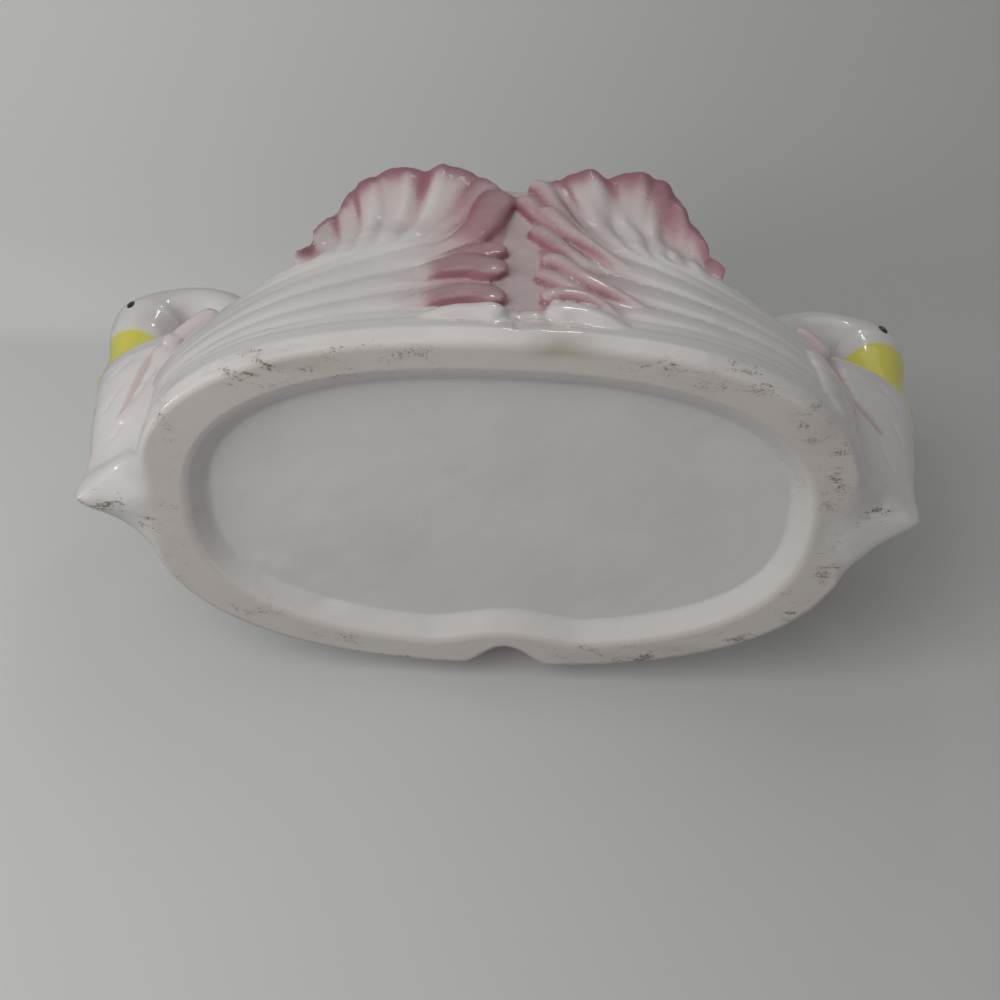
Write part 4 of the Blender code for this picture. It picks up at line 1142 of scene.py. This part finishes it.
def ramp(tree, value, low, high):
    made = node(tree, "ShaderNodeMapRange", (("Value", value), ("From Min", low), ("From Max", high)),
                interpolation_type="SMOOTHSTEP", clamp=True)
    return made.outputs["Result"]


def noiseTexture(tree, where, scale, detail, roughness=0.5):
    values = (("Vector", where), ("Scale", scale), ("Detail", detail), ("Roughness", roughness))
    return node(tree, "ShaderNodeTexNoise", values).outputs["Fac"]


# node group with a place, its named inputs and outputs
def newGroup(name, inputs, outputs):
    tree = bpy.data.node_groups.new(name, "ShaderNodeTree")
    tree.interface.new_socket("Where", in_out="INPUT", socket_type="NodeSocketVector")
    for label, kind in inputs:
        tree.interface.new_socket(label, in_out="INPUT", socket_type="NodeSocket" + kind)
    for label, kind in outputs:
        tree.interface.new_socket(label, in_out="OUTPUT", socket_type="NodeSocket" + kind)
    return tree, tree.nodes.new("NodeGroupInput").outputs, tree.nodes.new("NodeGroupOutput")


sprayGrain = {
    "fine": 900.0, "spread": 0.35, "cloud": 70.0, "drift": 0.45,
    "edge": 1.35,           # the mist is widest where the mask is near half of this
    "deep": (0.5, 1.05),    # stain from which the colour deepens
}


# airbrushed stain: a mask broken into fine mist where it fades
def makeSprayGroup():
    tree, given, result = newGroup("sprayMist", (("Mask", "Float"),),
                                   (("Stain", "Float"), ("Deep", "Float")))
    where, mask = given["Where"], given["Mask"]
    speckle = minus(tree, noiseTexture(tree, where, sprayGrain["fine"], 3.0, 0.7), 0.5)
    drift = minus(tree, noiseTexture(tree, where, sprayGrain["cloud"], 2.0), 0.5)
    both = plus(tree, times(tree, speckle, sprayGrain["spread"]), times(tree, drift, sprayGrain["drift"]))
    edge = times(tree, mask, minus(tree, sprayGrain["edge"], mask))
    stain = plus(tree, mask, times(tree, both, edge), clamp=True)
    feed(tree, result, (("Stain", stain), ("Deep", ramp(tree, stain, *sprayGrain["deep"]))))
    return tree


kilnGrain = {
    "stretch": (0.45, 1.0, 1.0),        # below 1 draws the specks out along that axis
    "grit": 2100.0, "patch": 260.0, "cover": (0.42, 0.66), "coverShare": 0.22,
    "specks": (0.64, 0.73), "edge": (0.05, 0.3),
}


# dark specks and scratches that the kiln shelf left on the foot
def makeKilnGroup():
    tree, given, result = newGroup("kilnSpecks", (("Mask", "Float"),),
                                   (("Specks", "Float"), ("Rub", "Float")))
    mapping = (("Vector", given["Where"]), ("Scale", kilnGrain["stretch"]))
    where = node(tree, "ShaderNodeMapping", mapping).outputs["Vector"]
    grit = noiseTexture(tree, where, kilnGrain["grit"], 4.0, 0.8)
    patch = noiseTexture(tree, where, kilnGrain["patch"], 3.0, 0.6)
    cover = times(tree, given["Mask"], ramp(tree, patch, *kilnGrain["cover"]))
    level = plus(tree, grit, times(tree, cover, kilnGrain["coverShare"]))
    inPatch = ramp(tree, given["Mask"], *kilnGrain["edge"])
    specks = times(tree, ramp(tree, level, *kilnGrain["specks"]), inPatch)
    feed(tree, result, (("Specks", specks), ("Rub", cover)))
    return tree


glazeGrain = {
    "slow": 28.0, "peel": 420.0, "pits": 230.0,
    # valleyShare: how much greyer the feather valleys are painted, for thick glaze and painted shade
    "valleyShare": 0.55, "drift": (0.35, 0.75), "driftShare": 0.3,
    "pit": (0.02, 0.09), "peelHeight": 0.35, "pitHeight": 0.12, "slowHeight": 0.8,
}


# thick and thin places of the glaze: a slow tint, grey in the feather valleys that is partly painted shade,
# pinholes and orange peel
def makeGlazeGroup():
    tree, given, result = newGroup("glazeDepthAndShade", (("Valley", "Float"), ("Tint", "Color"), ("Pool", "Color")),
                                   (("Colour", "Color"), ("Rough", "Float"), ("Height", "Float")))
    where, grain = given["Where"], glazeGrain
    slow = noiseTexture(tree, where, grain["slow"], 3.0)
    peel = noiseTexture(tree, where, grain["peel"], 2.0)
    pits = node(tree, "ShaderNodeTexVoronoi", (("Vector", where), ("Scale", grain["pits"])))
    # valleys painted greyer: thick glaze there, and painted shade
    thick = times(tree, given["Valley"], grain["valleyShare"])
    drift = times(tree, ramp(tree, slow, *grain["drift"]), grain["driftShare"])
    colour = mixColour(tree, plus(tree, thick, drift, clamp=True), given["Tint"], given["Pool"])
    rough = plus(tree, glaze["rough"], times(tree, peel, glaze["peelRough"]))
    pit = times(tree, ramp(tree, pits.outputs["Distance"], *grain["pit"]), grain["pitHeight"])
    height = plus(tree, times(tree, peel, grain["peelHeight"]), pit)
    height = plus(tree, height, times(tree, slow, grain["slowHeight"]))
    feed(tree, result, (("Colour", colour), ("Rough", rough), ("Height", height)))
    return tree


glaze = {
    "coat": 0.8, "coatRoughness": 0.04, "eyeCoat": 0.6, "ior": 1.5,
    "satinLoss": 0.85, "satinRough": 0.1,       # share of the coat that the crowns lack, and added roughness
    "rough": 0.24, "peelRough": 0.16, "dryRough": 0.35, "speckRough": 0.4,
    "bump": 0.35, "bumpDepth": 0.0006,
    # share of each colour over the white
    "stain": 0.9, "bleed": 0.25, "bareFlat": 0.5, "bareRub": 0.3, "ironStain": 0.75,
    "white": (0.735, 0.705, 0.69, 1.0),
    "pool": (0.60, 0.555, 0.555, 1.0),       # where the white lies thick, and painted shade in the feather valleys
    "pink": (0.49, 0.26, 0.285, 1.0),
    "deepPink": (0.31, 0.12, 0.155, 1.0),
    "mauve": (0.49, 0.305, 0.315, 1.0),
    "yellow": (0.71, 0.66, 0.09, 1.0),
    "bare": (0.56, 0.50, 0.44, 1.0),
    "iron": (0.36, 0.31, 0.24, 1.0),
    "soot": (0.21, 0.175, 0.14, 1.0),
    "black": (0.012, 0.012, 0.013, 1.0),
    "blackPool": (0.03, 0.028, 0.03, 1.0),
}


def newMaterial(name):
    material = bpy.data.materials.new(name)
    material.use_nodes = True
    tree = material.node_tree
    where = node(tree, "ShaderNodeTexCoord").outputs["Object"]
    return material, tree, tree.nodes["Principled BSDF"], where


def placed(tree, nodeGroup, where, **values):
    return node(tree, "ShaderNodeGroup", (("Where", where), *values.items()), node_tree=nodeGroup).outputs


def glazeMaterial(name, stain):
    material, tree, shader, where = newMaterial(name)
    read = {key: node(tree, "ShaderNodeAttribute", attribute_name=key).outputs["Fac"] for key in maskNames}
    # the glaze's tone, greyer in the feather valleys as painted shade and thick glaze
    depth = placed(tree, glazeGroup, where, Tint=glaze["white"], Pool=glaze["pool"], Valley=read["valley"])
    mist = placed(tree, sprayGroup, where, Mask=read["spray"])
    kiln = placed(tree, kilnGroup, where, Mask=read["speck"])
    yellow = ramp(tree, read["bill"], -0.25, 0.25)
    bleed = times(tree, ramp(tree, read["bill"], -3.0, 0.5), glaze["bleed"])
    colour, specks = depth["Colour"], kiln["Specks"]
    for amount, over in ((times(tree, mist["Stain"], glaze["stain"]), stain),
                         (mist["Deep"], "deepPink"),
                         (most(tree, yellow, bleed), "yellow"),
                         (times(tree, read["flat"], glaze["bareFlat"]), "bare"),
                         (times(tree, kiln["Rub"], glaze["bareRub"]), "bare"),
                         (times(tree, read["iron"], glaze["ironStain"]), "iron"),
                         (specks, "soot")):
        colour = mixColour(tree, amount, colour, glaze[over])
    dry = times(tree, most(tree, read["flat"], read["iron"]), glaze["dryRough"])
    rough = plus(tree, plus(tree, depth["Rough"], dry), times(tree, read["satin"], glaze["satinRough"]))
    rough = plus(tree, rough, times(tree, specks, glaze["speckRough"]), clamp=True)
    uncoated = most(tree, read["flat"], times(tree, read["satin"], glaze["satinLoss"]))
    height = minus(tree, depth["Height"], times(tree, specks, 0.6))
    bump = node(tree, "ShaderNodeBump",
                (("Strength", glaze["bump"]), ("Distance", glaze["bumpDepth"]), ("Height", height)))
    feed(tree, shader, (
        ("Base Color", colour), ("Roughness", rough), ("IOR", glaze["ior"]),
        ("Coat Weight", minus(tree, glaze["coat"], times(tree, uncoated, glaze["coat"]))),
        ("Coat Roughness", glaze["coatRoughness"]), ("Normal", bump.outputs["Normal"])))
    return material


def eyeMaterial():
    material, tree, shader, where = newMaterial("blackGlaze")
    depth = placed(tree, glazeGroup, where, Tint=glaze["black"], Pool=glaze["blackPool"])
    feed(tree, shader, (("Base Color", depth["Colour"]), ("Roughness", depth["Rough"]),
                        ("Coat Weight", glaze["eyeCoat"]), ("Coat Roughness", glaze["coatRoughness"])))
    return material


maskNames = ("spray", "valley", "bill", "speck", "iron", "flat", "satin")      # painted on the skin's points
glazeGroup, sprayGroup, kilnGroup = makeGlazeGroup(), makeSprayGroup(), makeKilnGroup()
materials = {
    "white_glaze": glazeMaterial("whiteGlaze", "pink"),
    "blush_glaze": glazeMaterial("blushGlaze", "pink"),
    "mauve_glaze": glazeMaterial("mauveGlaze", "mauve"),
    "yellow_glaze": glazeMaterial("yellowGlaze", "pink"),
    "black_glaze": eyeMaterial(),
}


# name of the node that every skin point belongs to
def pieceLabels(owner, carried):
    names = np.array([f.piece for f in forms], dtype=object)[owner]
    head, _, bill, _ = spineMarks()
    travel = carried["travel"]
    for swanLabel, _ in sides:
        onNeck = names == swanLabel + "_neck"
        names[onNeck & (travel > head)] = swanLabel + "_head"
        names[onNeck & (travel > bill)] = swanLabel + "_beak"
    return names


slotOf = {"wing": "blush_glaze", "panel": "mauve_glaze", "beak": "yellow_glaze", "eye": "black_glaze"}


def addPiece(name, replaced, points, faces, normals=None, **masks):
    mesh = bpy.data.meshes.new(name)
    mesh.vertices.add(len(points))
    mesh.vertices.foreach_set("co", (np.asarray(points) * mm).astype(np.float32).ravel())
    faces = np.asarray(faces)
    mesh.loops.add(faces.size)
    mesh.loops.foreach_set("vertex_index", faces.astype(np.int32).ravel())
    mesh.polygons.add(len(faces))
    mesh.polygons.foreach_set("loop_start", (np.arange(len(faces)) * faces.shape[1]).astype(np.int32))
    mesh.update(calc_edges=True)
    mesh.validate()
    mesh.shade_smooth()
    for key, values in masks.items():
        layer = mesh.attributes.new(key, "FLOAT", "POINT")
        layer.data.foreach_set("value", np.asarray(values, np.float32))
    if normals is not None:
        mesh.normals_split_custom_set_from_vertices([tuple(n) for n in normals])
    piece = bpy.data.objects.new(name, mesh)
    bpy.context.scene.collection.objects.link(piece)
    slot = slotOf.get(replaced.split("_")[-1], "white_glaze")
    mesh.materials.append(materials[slot])
    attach(piece, "root")
    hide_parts(replaced)


def camel(name):
    first, *rest = name.split("_")
    return first + "".join(word.capitalize() for word in rest)


maskReach = {
    "patchTop": 9.0,                # the patches end at this height
    "flat": (0.15, 0.9),            # what the pot stands on
    "crownFrom": (46.0, 62.0), "crownSide": (36.0, 44.0),       # the crowns, where the glaze is thin
}
z, sideways = points[:, 2], np.abs(points[:, 1])
masks = dict(zip(maskNames, (
    np.clip(carried["spray"], 0.0, 1.0),
    np.clip(carried["valley"], 0.0, 1.0),
    billMask(points, owner, carried),
    patchMask(points, speckPatches, maskReach["patchTop"]),
    patchMask(points, stainPatches, maskReach["patchTop"]),
    (1.0 - smoothStep(*maskReach["flat"], z)) * (np.abs(normals[:, 2]) > 0.6),
    smoothStep(*maskReach["crownFrom"], z) * smoothStep(*maskReach["crownSide"], sideways),
)))
labels, numbered = np.unique(pieceLabels(owner, carried).astype(str), return_inverse=True)
faceLabel = np.sort(numbered[faces], axis=1)[:, 1]
for k, label in enumerate(labels):
    used, compact = np.unique(faces[faceLabel == k], return_inverse=True)
    addPiece(camel(label) + "Skin", label, points[used], compact.reshape(-1, 4), normals[used],
             **{key: values[used] for key, values in masks.items()})
print("scene: pieces", ", ".join(labels))


# raised dot of black glaze, a little taller than wide
def makeEye(name, side, sideY):
    _, full, bill, _ = spineMarks()
    (_, z), _ = spine(full)
    travel = min(full + (z - swan["eyeHeight"][side]) / math.cos(swan["bow"]), bill - swan["eyeAboveBill"])
    middle, rise = swan["eyeTurn"], swan["eyeRise"]
    depth, width, _ = spineSection(travel)
    roundHead = 0.5 * (depth + width)
    turn = fullTurn(swan["eyeAround"])
    tall, wide = swan["eyeTall"], swan["eyeWide"]
    rings = []
    for share, lift in swan["eyeRings"]:
        radius = swan["eyeRadius"] * share * (1.0 + 0.06 * np.sin(2.0 * turn + 0.7))
        ring = [spinePoint(side, travel + tall * r * math.cos(t), middle + wide * r * math.sin(t) / roundHead,
                           lift * rise) for r, t in zip(radius, turn)]
        rings.append(np.array(ring))
    low, top = (spinePoint(side, travel, middle, lift * rise)[None] for lift in (-0.6, 1.0))
    dome = np.concatenate([low, *rings, top])
    dome[:, 1] *= sideY
    triangles = []
    for face in loftFaces(len(rings), len(turn)):
        triangles.append(face[:3])
        if len(face) == 4:
            triangles.append((face[0], face[2], face[3]))
    if side * sideY < 0:
        triangles = [tuple(reversed(t)) for t in triangles]
    addPiece(camel(name) + "Dot", name, dome, triangles)


for swanLabel, sideX in sides:
    for facing, sideY in facings:
        makeEye(swanLabel + "_" + facing + "_eye", sideX, sideY)
print("scene: eyes made")


camera = {      # where the photograph was taken from
    "azimuth": 0.57, "elevation": -53.62, "roll": 2.67, "distance": 352.45,
    "aim": (0.19, -7.6, 0.0), "lens": 43.2, "sensor": 36.0,
}


def makeCamera():
    a, e, r = (math.radians(camera[key]) for key in ("azimuth", "elevation", "roll"))
    back = Vector((math.sin(a) * math.cos(e), -math.cos(a) * math.cos(e), math.sin(e)))
    right = (-back).cross(Vector((0.0, 0.0, 1.0))).normalized()
    up = right.cross(-back)
    tiltedRight = math.cos(r) * right + math.sin(r) * up
    tiltedUp = -math.sin(r) * right + math.cos(r) * up
    data = bpy.data.cameras.new("photoCamera")
    data.lens = camera["lens"]
    data.sensor_width = camera["sensor"]
    data.clip_start, data.clip_end = 0.01, 20.0
    placedCamera = bpy.data.objects.new("photoCamera", data)
    turn = Matrix((tiltedRight, tiltedUp, back)).transposed().to_4x4()
    place = (Vector(camera["aim"]) + back * camera["distance"]) * mm
    placedCamera.matrix_world = Matrix.Translation(place) @ turn
    bpy.context.scene.collection.objects.link(placedCamera)
    bpy.context.scene.camera = placedCamera


stage = {
    "table": (0.74, 0.745, 0.735, 1.0),      # what the pot lies back on in the photograph
    "floor": (0.66, 0.66, 0.65, 1.0),
    "dull": (0.3, 0.29, 0.27, 1.0), "rightShadeShare": 0.42,       # painted shade: the board darker toward the right
    "tableY": 66.3, "tableLow": -420.0, "halfWidth": 520.0,
    "turnZ": 250.0, "turnSpan": 40.0, "turnReach": 34.0, "turnRise": 46.0,
    "wallLean": 0.42, "wallStep": 32.0,
    "floorZ": -0.05, "floorHalf": 2500.0, "roughness": 0.65,
}


# pale matt board, seen by the camera from its front only, with painted shade that darkens it toward the right
def stageMaterial(name, colour):
    material, tree, shader, where = newMaterial(name)
    darker = tuple(0.9 * c for c in colour[:3]) + (1.0,)
    shade = mixColour(tree, noiseTexture(tree, where, 3.0, 2.0), colour, darker)
    across = node(tree, "ShaderNodeSeparateXYZ", ((0, where),)).outputs[0]
    # painted shade: darker toward the right
    away = times(tree, ramp(tree, across, -0.25, 0.3), stage["rightShadeShare"])
    feed(tree, shader, (("Base Color", mixColour(tree, away, shade, stage["dull"])),
                        ("Roughness", stage["roughness"])))
    clear = node(tree, "ShaderNodeBsdfTransparent").outputs[0]
    direct = node(tree, "ShaderNodeLightPath").outputs["Is Camera Ray"]
    behind = node(tree, "ShaderNodeNewGeometry").outputs["Backfacing"]
    seen = times(tree, direct, minus(tree, 1.0, behind))
    mix = node(tree, "ShaderNodeMixShader", ((0, seen), (1, clear), (2, shader.outputs[0])))
    feed(tree, tree.nodes["Material Output"], (("Surface", mix.outputs[0]),))
    return material


# sweeps a profile in the YZ plane along X; its front is on the profile's left
def addBoard(name, profile, halfWidth, colour):
    columns = np.linspace(-halfWidth, halfWidth, 13)
    grid = [(x, y, z) for y, z in profile for x in columns]
    count = len(columns)
    faces = [(r * count + c, r * count + c + 1, (r + 1) * count + c + 1, (r + 1) * count + c)
             for r in range(len(profile) - 1) for c in range(count - 1)]
    mesh = bpy.data.meshes.new(name)
    mesh.from_pydata([tuple(p) for p in np.array(grid) * mm], [], faces)
    mesh.validate()
    mesh.shade_smooth()
    mesh.materials.append(stageMaterial(name + "Paint", colour))
    board = bpy.data.objects.new(name, mesh)
    bpy.context.scene.collection.objects.link(board)


def makeStage():
    tableY, lean, half = stage["tableY"], stage["wallLean"], stage["floorHalf"]
    turnLow = stage["turnZ"] - stage["turnSpan"]
    profile = [(tableY, z) for z in np.linspace(stage["tableLow"], turnLow, 12)]
    for k in range(1, 10):      # the round turn from the table up to the wall
        t = k / 9.0
        profile.append((tableY - stage["turnReach"] * t * t,
                        turnLow + stage["turnRise"] * t - 6.0 * t * t * (1.0 - lean)))
    y0, z0 = profile[-1]
    for k in range(1, 9):
        profile.append((y0 - stage["wallStep"] * k, z0 + stage["wallStep"] * k * lean))
    addBoard("lyingTable", profile, stage["halfWidth"], stage["table"])
    flat = [(y, stage["floorZ"]) for y in np.linspace(-half, half, 41)]
    addBoard("standingFloor", flat, half, stage["floor"])


lights = {      # place, aim, size, watts, colour, mirrored in the glaze
    "farWindow": ((86.0, -686.0, 797.0), (20.0, -60.0, 20.0), (80.0, 80.0), 0.21, (1.0, 0.99, 0.97), True),
    "leftWindow": ((-900.0, -230.0, 60.0), (-110.0, 0.0, 30.0), (110.0, 150.0), 0.5, (1.0, 1.0, 0.98), True),
    "leftSoft": ((-390.0, -455.0, -360.0), (0.0, 0.0, 20.0), (600.0, 600.0), 2.7, (1.0, 1.0, 0.99), False),
    "frontSoft": ((120.0, -600.0, 400.0), (20.0, -40.0, 60.0), (500.0, 400.0), 0.29, (1.0, 0.99, 0.98), True),
}


def makeLights():
    for name, (place, aim, size, watts, colour, mirrored) in lights.items():
        data = bpy.data.lights.new(name, "AREA")
        data.shape = "RECTANGLE"
        data.size, data.size_y = size[0] * mm, size[1] * mm
        data.energy = watts
        data.color = colour
        lamp = bpy.data.objects.new(name, data)
        lamp.location = Vector(place) * mm
        lamp.visible_glossy = mirrored
        lamp.rotation_mode = "QUATERNION"
        lamp.rotation_quaternion = (Vector(aim) - Vector(place)).to_track_quat("-Z", "Y")
        bpy.context.scene.collection.objects.link(lamp)


room = {"colour": (0.99, 1.0, 1.0, 1.0), "strength": 0.24}


def makeWorld():
    world = bpy.data.worlds.new("softRoom")
    bpy.context.scene.world = world
    world.use_nodes = True
    sky = world.node_tree.nodes["Background"]
    sky.inputs["Color"].default_value = room["colour"]
    sky.inputs["Strength"].default_value = room["strength"]


makeCamera()
makeStage()
makeLights()
makeWorld()
bpy.context.scene.view_settings.view_transform = "Standard"
print("scene: camera, stage and light ready")
